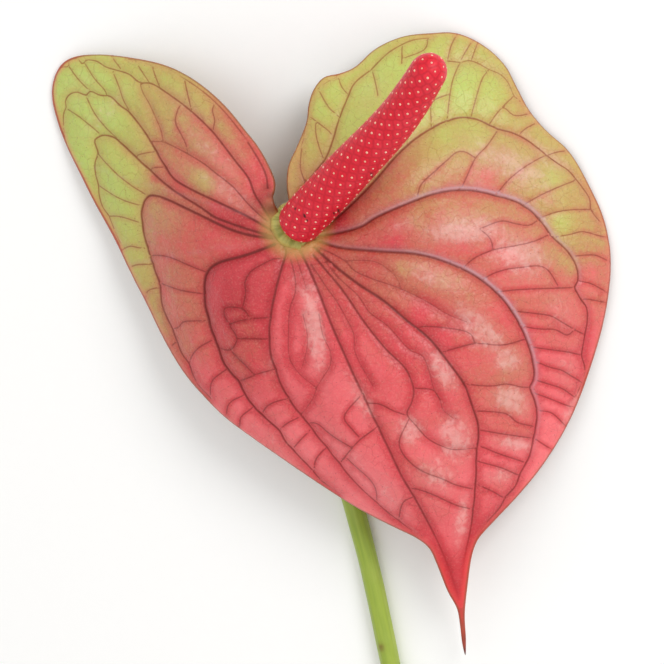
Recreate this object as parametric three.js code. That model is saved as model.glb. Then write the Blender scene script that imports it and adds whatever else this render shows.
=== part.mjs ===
// A cut anthurium flower lying face up on a flat surface: a heart-shaped waxy spathe, a finger-like
// spadix, the green collar where they meet, and a short length of stem. Millimetres, +Z up.
//
// Everything is modelled in the frame of the spathe's face: u to the right, v towards the back lobes,
// w out of the face. The origin is the point where the midrib starts. The whole flower is then tipped
// back and to one side until both edges of the spathe and the stem lie on the surface z = 0.
import * as THREE from "three";
import { mergeVertices } from "three/addons/utils/BufferGeometryUtils.js";

// Driving dimensions
const SPATHE_THICKNESS = 1.0;
const SPATHE_TUCK = 0.4; // how much further than the joint gap the blade's inner edge stays from the collar
const STEM_RADIUS = 2.6;
const STEM_END_RADIUS = 2.25;
const STEM_TOP_RADIUS = 3.6;
const COLLAR_RADIUS = 5.6;
const COLLAR_HEIGHT = 2.4;
const JOINT_GAP = 0.35;
const BASE_HEIGHT = 25; // of the midrib's start above the surface
const TILT_BACK = THREE.MathUtils.degToRad(-7); // about X
const TILT_ASIDE = THREE.MathUtils.degToRad(14); // about Y

// The blade's inner edge runs round the collar between these two directions, open at the notch.
const INNER_EDGE = [134, 467].map(THREE.MathUtils.degToRad);

const COLLAR_CENTRE = new THREE.Vector3(1.8, 2.2, -0.4);
const COLLAR_AXIS = new THREE.Vector3(0.2, 0.22, 1).normalize();

const tipped = new THREE.Euler(TILT_BACK, TILT_ASIDE, 0);
const surfaceNormal = new THREE.Vector3(0, 0, 1).applyEuler(tipped.clone().set(-TILT_BACK, 0, 0))
  .applyEuler(new THREE.Euler(0, -TILT_ASIDE, 0));

// The spathe's margin, from the left side of the notch round the left lobe, the tip and the right
// lobe to the right side of the notch.
const MARGIN = [
  [-3.3, 7.6], [-3.6, 11.2], [-4.9, 16.3], [-9.9, 24.6], [-17.6, 32.1], [-26.1, 39.2], [-37.4, 42.8],
  [-45.9, 44.1], [-52.6, 43.6], [-57.2, 40], [-58, 35.6], [-57.4, 30.9], [-54.5, 23.2], [-49.7, 14],
  [-43.6, 1.8], [-38.5, -7.5], [-32.4, -19.9], [-25.1, -32.3], [-17.5, -41.2], [-10, -47], [-0.1, -54],
  [10, -60.6], [20, -66.6], [27.2, -69.8], [31.9, -72.9], [34.4, -76.8], [36.8, -83.4], [39.3, -87.8],
  [40.4, -92.5], [40.9, -97.4], [41.7, -100.2], [41.9, -95], [41.7, -89.2], [42.5, -80.1],
  [43.1, -74.3], [45, -70.5], [49.5, -66.2], [55.6, -59.7], [62.7, -49.8], [67.4, -41], [71.2, -30],
  [74, -18.7], [75.3, -7.5], [73.9, 3], [70.6, 10.5], [66.5, 18.2], [59.9, 24.6], [55.7, 29.5],
  [52.7, 35.3], [50.1, 40.6], [44.5, 45.3], [36.8, 47.7], [26.3, 46.4], [18.5, 42.5], [13.8, 38.5],
  [8.6, 37.1], [5.1, 33], [4.2, 27.5], [2.3, 21.3], [-0.4, 16], [-0.7, 11.5], [-0.5, 9.2],
];

// Spots on the spathe as [u, v, w]: a shallow funnel round the spadix, a broad dome, margins that
// fall towards the surface, and a drooping tip.
const RELIEF_SPOTS = [
  [0, 0, -0.4], [7, 3, -0.2], [-4, 1, -0.8], [8, -18, 3.4], [17, -38, 3.2], [26, -57, -1.5], [34, -73, -9],
  [38, -84, -14.5], [41.7, -100.2, -23],
  [22, -8, 5.2], [40, -18, 4.6], [56, -16, 0.6], [24, 12, 4.6], [40, 16, 2.4], [44, -40, 0.4],
  [75.3, -7.5, -7.2], [73.9, 3, -6.2], [66.5, 18.2, -5.8], [58, 26, -6.2], [51, 39, -7], [38, 47.6, -8.6],
  [26.3, 46.4, -8.6], [13.8, 38.5, -8], [5.1, 33, -6.8], [3, 24, -4.2], [-0.5, 12, -1.2],
  [71.2, -30, -9.4], [62.7, -49.8, -11.4], [49.5, -66.2, -10.5],
  [-14, -14, -5], [-20, 4, -8.4], [-22, 16, -10], [-38, 22, -23], [-57.4, 33, -35.2], [-52, 43.4, -32],
  [-37.4, 42.8, -23.5], [-20, 34, -12.5], [-9.9, 24.6, -6], [-3.6, 10.6, -1.6],
  [-54.5, 23.2, -34.6], [-43.6, 1.8, -31.2], [-32.4, -19.9, -26.4], [-21, -37, -20.6], [-5, -50.6, -16.6],
  [10, -60.6, -14.6], [24, -68.4, -12.6],
];

// Solves the square system rows * x = values by elimination with row swaps.
function solve(rows, values) {
  const a = rows.map((row, i) => [...row, values[i]]);
  for (let i = 0; i < a.length; i++) {
    const pivot = a.slice(i).reduce((best, row, k) => (Math.abs(row[i]) > Math.abs(a[best][i]) ? i + k : best), i);
    [a[i], a[pivot]] = [a[pivot], a[i]];
    for (let j = 0; j < a.length; j++) {
      if (j === i) continue;
      const share = a[j][i] / a[i][i];
      for (let k = i; k <= a.length; k++) a[j][k] -= share * a[i][k];
    }
  }
  return a.map((row, i) => row[a.length] / row[i]);
}

// A thin-plate spline through the spots: the height of the smoothest sheet that passes near them all.
function thinPlate(spots, softness = 2) {
  const bend = (du, dv) => {
    const square = du * du + dv * dv;
    return square ? 0.5 * square * Math.log(square) : 0;
  };
  const rows = spots.map(([u, v], i) => [
    ...spots.map(([p, q], k) => (k === i ? softness : bend(u - p, v - q))), 1, u, v,
  ]);
  for (const column of [() => 1, (s) => s[0], (s) => s[1]]) rows.push([...spots.map(column), 0, 0, 0]);
  const weights = solve(rows, [...spots.map((s) => s[2]), 0, 0, 0]);
  const [level, slopeU, slopeV] = weights.slice(spots.length);
  return (u, v) =>
    spots.reduce((sum, [p, q], k) => sum + weights[k] * bend(u - p, v - q), level + slopeU * u + slopeV * v);
}
const relief = thinPlate(RELIEF_SPOTS);

// Where the surface that the flower lies on passes under a point of the spathe's frame.
function surfaceBelow(u, v) {
  return -(BASE_HEIGHT + surfaceNormal.x * u + surfaceNormal.y * v) / surfaceNormal.z;
}

// Moves every vertex of a closed geometry by a function, and welds the result.
function reshaped(geometry, move) {
  const bare = geometry.clone().deleteAttribute("normal").deleteAttribute("uv");
  const welded = mergeVertices(bare, 1e-4);
  const places = welded.getAttribute("position");
  const point = new THREE.Vector3();
  for (let i = 0; i < places.count; i++) {
    move(point.fromBufferAttribute(places, i));
    places.setXYZ(i, point.x, point.y, point.z);
  }
  welded.computeVertexNormals();
  return welded;
}

const FRAMES = 200; // cross-section directions worked out along a swept curve

// A round solid swept along a curve: a unit cylinder whose rings follow the curve.
function swept(curve, radiusAt, sides, steps, spacing = (t) => t) {
  const rings = new THREE.CylinderGeometry(1, 1, 1, sides, steps);
  const frames = curve.computeFrenetFrames(FRAMES, false);
  return reshaped(rings, (p) => {
    const along = spacing(0.5 + p.y);
    const k = Math.round(along * FRAMES);
    const radius = radiusAt(along);
    const [x, z] = [p.x, p.z];
    p.copy(curve.getPointAt(along));
    p.addScaledVector(frames.normals[k], z * radius).addScaledVector(frames.binormals[k], x * radius);
  });
}

// The spathe: a flat box of many cells whose width goes round the collar, whose depth goes out from
// the collar to the margin, and whose two faces follow the relief.
function spatheGeometry() {
  const around = 2 * (MARGIN.length - 1);
  const outwards = 11;
  const margin = new THREE.CatmullRomCurve3(MARGIN.map(([u, v]) => new THREE.Vector3(u, v, 0)), false, "centripetal");
  const innerRadius = COLLAR_RADIUS + JOINT_GAP + SPATHE_TUCK;
  const tipIndex = MARGIN.reduce((low, [, v], i) => (v < MARGIN[low][1] ? i : low), 0);
  const tipShare = tipIndex / (MARGIN.length - 1);
  const evenly = 0.35; // share of the inner edge's spacing that is even, so that no two rays start together
  const tipSway = new THREE.Vector3(8, 2, 0); // how far the rays to the tip bow towards its right side

  const directions = Array.from({ length: around + 1 }, (_, i) => {
    const edge = margin.getPoint(i / around);
    return Math.atan2(edge.y - COLLAR_CENTRE.y, edge.x - COLLAR_CENTRE.x);
  });
  for (let i = 1; i <= around; i++) {
    while (directions[i] < directions[i - 1] - Math.PI) directions[i] += 2 * Math.PI;
    directions[i] = Math.max(directions[i], directions[i - 1]);
  }
  const span = directions[around] - directions[0];

  return reshaped(new THREE.BoxGeometry(1, 1, 1, around, outwards, 1), (p) => {
    const share = 0.5 - p.x;
    const out = p.y + 0.5;
    const side = p.z;
    const step = Math.round(share * around);
    const seen = (directions[step] - directions[0]) / span;
    const angle = THREE.MathUtils.lerp(...INNER_EDGE, evenly * share + (1 - evenly) * seen);
    const inner = new THREE.Vector3(
      COLLAR_CENTRE.x + innerRadius * Math.cos(angle), COLLAR_CENTRE.y + innerRadius * Math.sin(angle), 0);
    const outer = margin.getPoint(share);
    const leaning = Math.exp(-(((share - tipShare) / 0.05) ** 2));
    const middle = inner.clone().lerp(outer, 0.5).addScaledVector(tipSway, leaning);
    const ray = new THREE.QuadraticBezierCurve3(inner, middle, outer);
    p.copy(ray.getPoint(out));
    p.z = relief(p.x, p.y) + side * SPATHE_THICKNESS;
  });
}

// The spadix: widest a third of the way up, tapered, with a round foot and a round tip.
function spadixGeometry() {
  const axis = new THREE.CatmullRomCurve3([
    [2.3, 2.4, 2.2], [3.9, 4.2, 5], [13.4, 13.8, 15.6], [24.7, 25.5, 28], [31.2, 34.9, 37.4], [32.8, 38.2, 40.4],
  ].map((at) => new THREE.Vector3(...at)));
  const girth = new THREE.SplineCurve(
    [[0, 5.1], [0.2, 5.35], [0.4, 5.3], [0.62, 4.95], [0.82, 4.55], [1, 4.2]].map((at) => new THREE.Vector2(...at)));
  const roundEnd = (x) => Math.sqrt(1 - (1 - THREE.MathUtils.clamp(x, 0.02, 1)) ** 2);
  const radiusAt = (t) => girth.getPoint(t).y * roundEnd(t / 0.055) * roundEnd((1 - t) / 0.075);
  return swept(axis, radiusAt, 20, 22, (t) => 0.5 - 0.5 * Math.cos(Math.PI * t));
}

// The collar: a round-edged disc, the same above and below, whose centre is COLLAR_CENTRE.
function collarGeometry() {
  const half = COLLAR_HEIGHT / 2;
  const flat = COLLAR_RADIUS - half;
  const edge = Array.from({ length: 7 }, (_, i) => {
    const turn = Math.PI * (i / 6 - 0.5);
    return new THREE.Vector2(flat + half * Math.cos(turn), half * Math.sin(turn));
  });
  const profile = [new THREE.Vector2(0, -half), ...edge, new THREE.Vector2(0, half)];
  const disc = new THREE.LatheGeometry(profile, 24);
  const upright = new THREE.Quaternion().setFromUnitVectors(new THREE.Vector3(0, 1, 0), COLLAR_AXIS);
  return reshaped(disc, (p) => p.applyQuaternion(upright));
}

// The stem: it leaves the collar downwards, bends, and lies along the surface to its cut end. It
// flares where it meets the collar.
function stemGeometry() {
  const lying = (u, v) => new THREE.Vector3(u, v, surfaceBelow(u, v) + STEM_RADIUS / surfaceNormal.z);
  const below = (depth) => COLLAR_CENTRE.clone().addScaledVector(COLLAR_AXIS, -(COLLAR_HEIGHT / 2 + depth));
  const axis = new THREE.CatmullRomCurve3([
    below(JOINT_GAP), below(4), new THREE.Vector3(0.2, -2.4, -11.4), new THREE.Vector3(1.4, -11.6, -18.6),
    lying(4.8, -27).add(new THREE.Vector3(0, 0, 1)), lying(9.4, -45), lying(15.1, -64.4), lying(19.3, -80.6),
    lying(24, -102.8), lying(29, -127), lying(33, -150),
  ]);
  const radiusAt = (t) => {
    const tapered = THREE.MathUtils.lerp(STEM_RADIUS, STEM_END_RADIUS, t);
    return THREE.MathUtils.lerp(tapered, STEM_TOP_RADIUS, Math.exp(-t / 0.035));
  };
  return swept(axis, radiusAt, 12, 34, (t) => t ** 1.25);
}

function finish(color, roughness) {
  return new THREE.MeshStandardMaterial({ color, roughness, metalness: 0 });
}

function named(name, geometry, material) {
  const mesh = new THREE.Mesh(geometry, material);
  mesh.name = name;
  return mesh;
}

const collar = named("collar", collarGeometry(), finish(0xaab04e, 0.45));
collar.position.copy(COLLAR_CENTRE);

const blossom = new THREE.Group();
blossom.rotation.copy(tipped);
blossom.add(
  named("spathe", spatheGeometry(), finish(0xd0645c, 0.35)),
  named("spadix", spadixGeometry(), finish(0xc21f2b, 0.45)),
  collar,
  named("stem", stemGeometry(), finish(0x95a53c, 0.5)),
);

// Stands the flower on z = 0 with the middle of its outline over the origin.
const flower = new THREE.Group();
flower.add(blossom);
const box = new THREE.Box3().setFromObject(flower, true);
const middle = box.getCenter(new THREE.Vector3());
blossom.position.set(-middle.x, -middle.y, -box.min.z);

export default flower;
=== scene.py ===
import math

import bpy
import numpy as np
from mathutils import Matrix, Vector
from mathutils.geometry import delaunay_2d_cdt
from mathutils.kdtree import KDTree


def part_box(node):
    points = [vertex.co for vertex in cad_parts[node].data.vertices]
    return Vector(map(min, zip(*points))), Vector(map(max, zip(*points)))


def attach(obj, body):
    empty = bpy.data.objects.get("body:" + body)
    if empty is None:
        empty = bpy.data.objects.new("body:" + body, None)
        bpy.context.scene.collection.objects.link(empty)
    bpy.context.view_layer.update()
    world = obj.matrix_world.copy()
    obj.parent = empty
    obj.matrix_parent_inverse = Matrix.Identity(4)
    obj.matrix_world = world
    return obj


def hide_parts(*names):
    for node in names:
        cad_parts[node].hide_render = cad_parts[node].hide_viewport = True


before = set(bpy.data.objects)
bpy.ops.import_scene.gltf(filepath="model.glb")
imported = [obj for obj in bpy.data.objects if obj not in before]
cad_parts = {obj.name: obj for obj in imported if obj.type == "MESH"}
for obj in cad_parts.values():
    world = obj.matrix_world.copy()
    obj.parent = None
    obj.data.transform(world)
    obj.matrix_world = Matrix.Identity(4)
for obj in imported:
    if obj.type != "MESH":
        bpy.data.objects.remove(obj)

bl_info = {
    "name": "Anthurium Flower",
    "version": (1, 0, 0),
    "blender": (4, 5, 0),
    "location": "View3D > Sidebar > Anthurium",
    "description": "Builds the waxy spathe, the dotted spadix, the collar and the stem of a cut anthurium",
    "category": "Add Mesh",
}

# The blade frame: u to the right across the spathe's face, v towards its back lobes, w out of the
# face, in millimetres, from the point where the midrib starts. The flower is tipped back and aside.
MM = 0.001
TILT_BACK = math.radians(-7)
TILT_ASIDE = math.radians(14)
TURN = np.array(Matrix.Rotation(TILT_BACK, 3, "X") @ Matrix.Rotation(TILT_ASIDE, 3, "Y"))
COLLAR_CENTRE = np.array([1.8, 2.2, -0.4])
COLLAR_AXIS = np.array([0.2, 0.22, 1.0]) / np.linalg.norm([0.2, 0.22, 1.0])
COLLAR_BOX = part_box("collar")
START = np.array((COLLAR_BOX[0] + COLLAR_BOX[1]) / 2) - TURN @ COLLAR_CENTRE * MM
UP = TURN[2]  # the row's up direction, seen from the blade frame

# The spathe's margin, from the left side of the notch round the left lobe, the tip and the right
# lobe to the right side of the notch, as (u, v).
MARGIN = [
    (-2.4, 5.2), (-3.3, 6.7), (-3.8, 8.4), (-3.4, 10.2), (-3.4, 12.4), (-5, 16.4), (-7.3, 20.5), (-10, 24),
    (-15, 30.2), (-20, 34.9), (-25, 38.4), (-30, 40.8), (-37, 42.7), (-45.9, 44), (-52.2, 43.7),
    (-55.3, 42.2), (-57.3, 38.9), (-57.9, 34.4), (-57, 29.7), (-55, 23.8), (-51, 15.6), (-47.6, 8.8),
    (-42.5, -0.3), (-38.1, -9.1), (-34.8, -15.4), (-30, -25), (-25, -33), (-20, -38.7), (-15, -43.4),
    (-9.9, -47.1), (0, -54), (10, -60.7), (17.7, -65.3), (25, -69), (30, -71.4), (32.8, -73.6),
    (34.7, -77.6), (37.2, -84), (39.6, -88.6), (40.4, -92.7), (41, -97.2), (41.8, -100.2), (41.9, -96.5),
    (41.5, -90), (42, -82.9), (43, -75.1), (44.3, -71.6), (48.1, -67.3), (53.6, -61.5), (59.4, -54.4),
    (64.8, -45.8), (68, -38.9), (71.1, -30), (73.8, -20), (75.1, -11), (75.2, -4.5), (73.7, 3.6),
    (70.5, 10.9), (65.4, 19.6), (60.2, 24.4), (56.2, 29.2), (53.3, 34.6), (50.4, 40), (45, 44.9),
    (39, 47.5), (33.7, 47.5), (26.3, 46.6), (20, 43.7), (15.2, 39.4), (11.8, 38), (7.9, 37), (5.5, 34),
    (4.4, 30.5), (3.9, 26.5), (1.6, 20.4), (-0.3, 16), (-0.7, 11.7), (-0.3, 7.9),
]
NOTCH_CURL = (-4.0, 7.2)  # where the left side of the notch curls up against the spadix
NOTCH_ARC = (105, -222, 4.6)  # from and to, in degrees, and radius of the edge round the collar

# Spots on the spathe as (u, v, w): a shallow funnel round the spadix, a broad dome, margins that
# fall towards the surface, and a drooping tip.
RELIEF_SPOTS = [
    (0, 0, -0.4), (7, 3, -0.2), (-4, 1, -0.8), (8, -18, 3.4), (17, -38, 3.2), (26, -57, -1.5),
    (34, -73, -9), (38, -84, -14.5), (41.7, -100.2, -23), (22, -8, 5.2), (40, -18, 4.6), (56, -16, 0.6),
    (24, 12, 4.6), (40, 16, 2.4), (44, -40, 0.4), (75.3, -7.5, -7.2), (73.9, 3, -6.2),
    (66.5, 18.2, -5.8), (58, 26, -6.2), (51, 39, -7), (38, 47.6, -8.6), (26.3, 46.4, -8.6),
    (13.8, 38.5, -8), (5.1, 33, -6.8), (3, 24, -4.2), (-0.5, 12, -1.2), (71.2, -30, -9.4),
    (62.7, -49.8, -11.4), (49.5, -66.2, -10.5), (-14, -14, -5), (-20, 4, -8.4), (-22, 16, -10),
    (-38, 22, -23), (-57.4, 33, -35.2), (-52, 43.4, -32), (-37.4, 42.8, -23.5), (-20, 34, -12.5),
    (-9.9, 24.6, -6), (-3.6, 10.6, -1.6), (-54.5, 23.2, -34.6), (-43.6, 1.8, -31.2),
    (-32.4, -19.9, -26.4), (-21, -37, -20.6), (-5, -50.6, -16.6), (10, -60.6, -14.6), (24, -68.4, -12.6),
]

# The two great veins of the right half, whose outer lips stand proud and carry a painted highlight where they
# catch the light.
INNER_LOOP = [
    (6.4, -1.6), (11.3, -3.2), (20, -4.1), (30, -4.9), (36.9, -6.9), (43.3, -10), (48.7, -14.4),
    (52.4, -19.3), (55.1, -24.7), (56.6, -29.7), (56.9, -33.5), (56.1, -35.7), (57, -38.3), (57.7, -41),
    (57.7, -43.7), (56.7, -49.4), (55.9, -52.5), (54.2, -55.6), (52.9, -58.9), (50.8, -61.3),
    (49.2, -64), (44.8, -69.1), (43.6, -72),
]
OUTER_LOOP = [
    (6.7, -0.6), (12.1, 0.2), (17.1, 1.7), (20.1, 3.6), (26.3, 6.4), (33.7, 9.1), (40.3, 10),
    (47.7, 8.8), (54, 6.7), (58, 3.4), (60.8, -0.3), (65.3, -4.7), (66.8, -7.6), (67.2, -10.7),
    (66.5, -12.3), (67.7, -14.7), (69.3, -17), (69.5, -20.3), (68.4, -28.2), (69.1, -30.8),
    (69, -33.5), (67, -38),
]

# Main veins, each as (half width at its start, half width at its end, darkness, points).
MAIN_VEINS = [
    (0.3, 0.18, 0.8, [
        (-5, 10.5), (-5.4, 13.5), (-7, 17), (-11.5, 24), (-17.3, 31), (-20.7, 34), (-28, 39.1), (-33, 40.8),
        (-38.7, 42.4)]),
    (0.36, 0.2, 0.9, [
        (-4, 3), (-6, 6.4), (-8, 9.4), (-9.4, 13), (-12.4, 17), (-17.9, 24.1), (-22.7, 28.9), (-29.3, 34.1),
        (-33.1, 36.4), (-35.7, 36.7), (-38.4, 38.8), (-44.1, 40.8), (-46.6, 42.3), (-49.2, 42.6),
        (-50, 41.8), (-51.4, 43), (-53.3, 42.9), (-53.6, 41.4), (-55.4, 41.2)]),
    (0.2, 0.2, 0.6, [
        (-35.7, 36.7), (-34.9, 34.4), (-33.2, 31.5), (-31.6, 28.1), (-30.3, 25.1), (-29.6, 22.2)]),
    (0.28, 0.2, 0.75, [
        (-5, 3), (-9.4, 7), (-13.1, 11.2), (-16.9, 14.3), (-20, 16.8), (-26.5, 20.7), (-29.6, 22.2),
        (-32.4, 22.5)]),
    (0.42, 0.2, 0.95, [
        (-4, 0.8), (-9.4, 4), (-15.9, 7.3), (-23.4, 11.1), (-27.2, 13.6), (-30.7, 18.7), (-34.2, 24.7),
        (-38.4, 29.8), (-40.5, 31.4), (-43, 33.7), (-45.5, 34.1), (-48.1, 35.1), (-49.1, 34.3), (-51.4, 35.1),
        (-53.3, 34.5), (-54.3, 33.1), (-54.2, 31.6), (-54.8, 30.2), (-54.7, 24.7)]),
    (0.42, 0.2, 0.95, [
        (-4, -0.5), (-9.4, 1.1), (-14.1, 2.8), (-17.5, 4.3), (-20.6, 6.5), (-27.9, 11.3), (-34.9, 17.4),
        (-40, 22.1), (-42, 23.8), (-44.2, 24.5), (-45.4, 24.4), (-46.9, 23.4), (-46.5, 21.7), (-46.2, 20.3),
        (-46.9, 17.9), (-46.8, 15.5), (-46.2, 12.7), (-46, 10.4), (-45.2, 7.6), (-43.7, 5.3), (-42.3, 2.1),
        (-40.7, -1.5)]),
    (0.46, 0.22, 1.0, [
        (-4, -1), (-9.3, -0.2), (-14.1, 1.4), (-20.9, 4.8), (-25.1, 6.9), (-28.6, 8.6), (-31.4, 9.6),
        (-33.5, 9.6), (-34.4, 8.6), (-35.1, 6.9), (-35.1, 3.5), (-33.8, -2.7), (-32.4, -7.1), (-31, -10.9),
        (-30.2, -16.6), (-27.9, -22), (-25.6, -27.8), (-23.9, -30.3), (-22.9, -33), (-21.2, -35.9),
        (-18.7, -38.4)]),
    (0.5, 0.22, 1.0, [
        (-3.3, -2.4), (-6.3, -3.6), (-10, -4.9), (-16.4, -6.6), (-18.1, -7.6), (-19.2, -8.9), (-19.8, -14),
        (-18.7, -20.3), (-16.4, -27), (-14.9, -30.7), (-11.8, -34.4), (-10.5, -37.1), (-8.1, -40.5),
        (-2.4, -45.8), (-0.7, -48.6), (4.4, -54.1), (7.7, -57.8), (12, -61)]),
    (0.4, 0.18, 0.85, [
        (-1.2, -3), (-0.7, -4), (-1.4, -6.8), (-2.9, -12.7), (-4.3, -20), (-4.3, -26.7), (-2.6, -32.7),
        (0, -38.1), (5.4, -45.2), (10.1, -51.1), (14.1, -56.1), (20.1, -62.2), (25.8, -67), (30, -70)]),
    (0.42, 0.24, 0.85, [
        (2, -3.1), (3.8, -6.4), (6.4, -12.1), (9.8, -20.7), (13.8, -29.7), (19, -41), (22.8, -48.7),
        (26.8, -57), (30.9, -64), (34.9, -72), (38, -79.7), (40.3, -87.5), (41.2, -94)]),
    (0.4, 0.16, 0.85, [
        (5.7, -5.1), (8, -7.8), (12.7, -13.5), (17.4, -20.4), (22.4, -26.7), (26.7, -31), (28.1, -33.7),
        (28.8, -36.4), (28.3, -39), (27.3, -41.7), (29.3, -44.3), (32, -47.3), (35, -49), (37.7, -49.9),
        (43.1, -49.7)]),
    (0.5, 0.22, 1.0, [
        (6.1, -3.4), (10.1, -7.1), (16, -11.7), (22, -15.7), (27, -20), (32.3, -24.3), (36.9, -30),
        (40.6, -35.2), (41.7, -38.2), (43.8, -45), (43.4, -51.4), (43.3, -58.2), (42.4, -68.4),
        (41.2, -75.3), (40.6, -84)]),
    (0.26, 0.14, 0.6, [
        (6.8, -3.1), (13, -6.4), (15.3, -8.7), (18.7, -10.3), (26, -12.9), (32, -15.9), (36.6, -18.7),
        (40.9, -20.4)]),
    (0.2, 0.14, 0.5, [(13, -6.4), (16.8, -6.3), (20, -6.6), (22.7, -8.1), (24.7, -10.1), (26, -12.7)]),
    (0.5, 0.22, 0.95, INNER_LOOP),
    (0.46, 0.2, 1.0, OUTER_LOOP),
    (0.46, 0.2, 0.95, [
        (8, 1), (14.5, 6.6), (20.1, 12.2), (25.3, 18.2), (29.9, 22.3), (36.6, 26.2), (42, 27),
        (48.6, 24.5), (53.3, 23.1), (58, 20), (62.4, 16.6), (65.1, 14.9), (68.4, 10.9), (70.1, 8.2),
        (70.4, 5.9), (72.6, 2.8)]),
    (0.36, 0.2, 0.85, [
        (1, 8), (5, 13), (8.1, 17), (9.4, 19.4), (11.8, 27.2), (13.3, 31), (15.1, 35.1), (19.2, 38.7),
        (23.6, 42.9), (28.3, 45.4), (33, 46.2)]),
    (0.2, 0.2, 0.7, [
        (37, 40.6), (39.9, 40.3), (42.3, 40.7), (46.8, 38.6), (49.4, 37.4), (51.1, 35.5), (52.4, 32.6),
        (54, 31)]),
    (0.24, 0.16, 0.6, [
        (3.6, 12.1), (2.6, 15.4), (3.8, 24.8), (4.8, 30.3), (5.8, 33.1), (7.5, 34.8), (11.2, 37)]),
    (0.24, 0.14, 0.55, [
        (0.4, -6.1), (1.3, -9.4), (1.6, -13.4), (0.4, -17.1), (0.1, -22), (0.4, -28.7), (2.4, -32),
        (6.4, -35.4)]),
    (0.22, 0.16, 0.5, [(1.4, -4.8), (2.8, -8.8), (4.1, -12.7)]),
    (0.2, 0.14, 0.5, [
        (7.1, -18.7), (8.1, -23.7), (9.8, -27.3), (9.8, -30.3), (8.4, -32.7), (6.8, -35.3), (5.8, -38),
        (2.9, -42)]),
    (0.2, 0.14, 0.45, [(3.4, -18.7), (4.4, -23), (4.4, -26.4), (3.4, -30.3)]),
    (0.24, 0.16, 0.5, [
        (5.4, -7.4), (8.4, -12), (11.1, -15.7), (13.4, -19.7), (15.1, -23.3), (15.4, -27.3), (19.4, -35)]),
    (0.24, 0.16, 0.55, [
        (8.7, -6.8), (12, -10.7), (16, -14.4), (18.7, -18.3), (22.7, -21.3), (28, -27), (30.7, -28.3),
        (32.3, -32), (33.3, -35.7), (34.9, -38.7), (35.4, -40.6), (37.7, -42.6)]),
]
SIDE_WIDTH = 0.19
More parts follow.
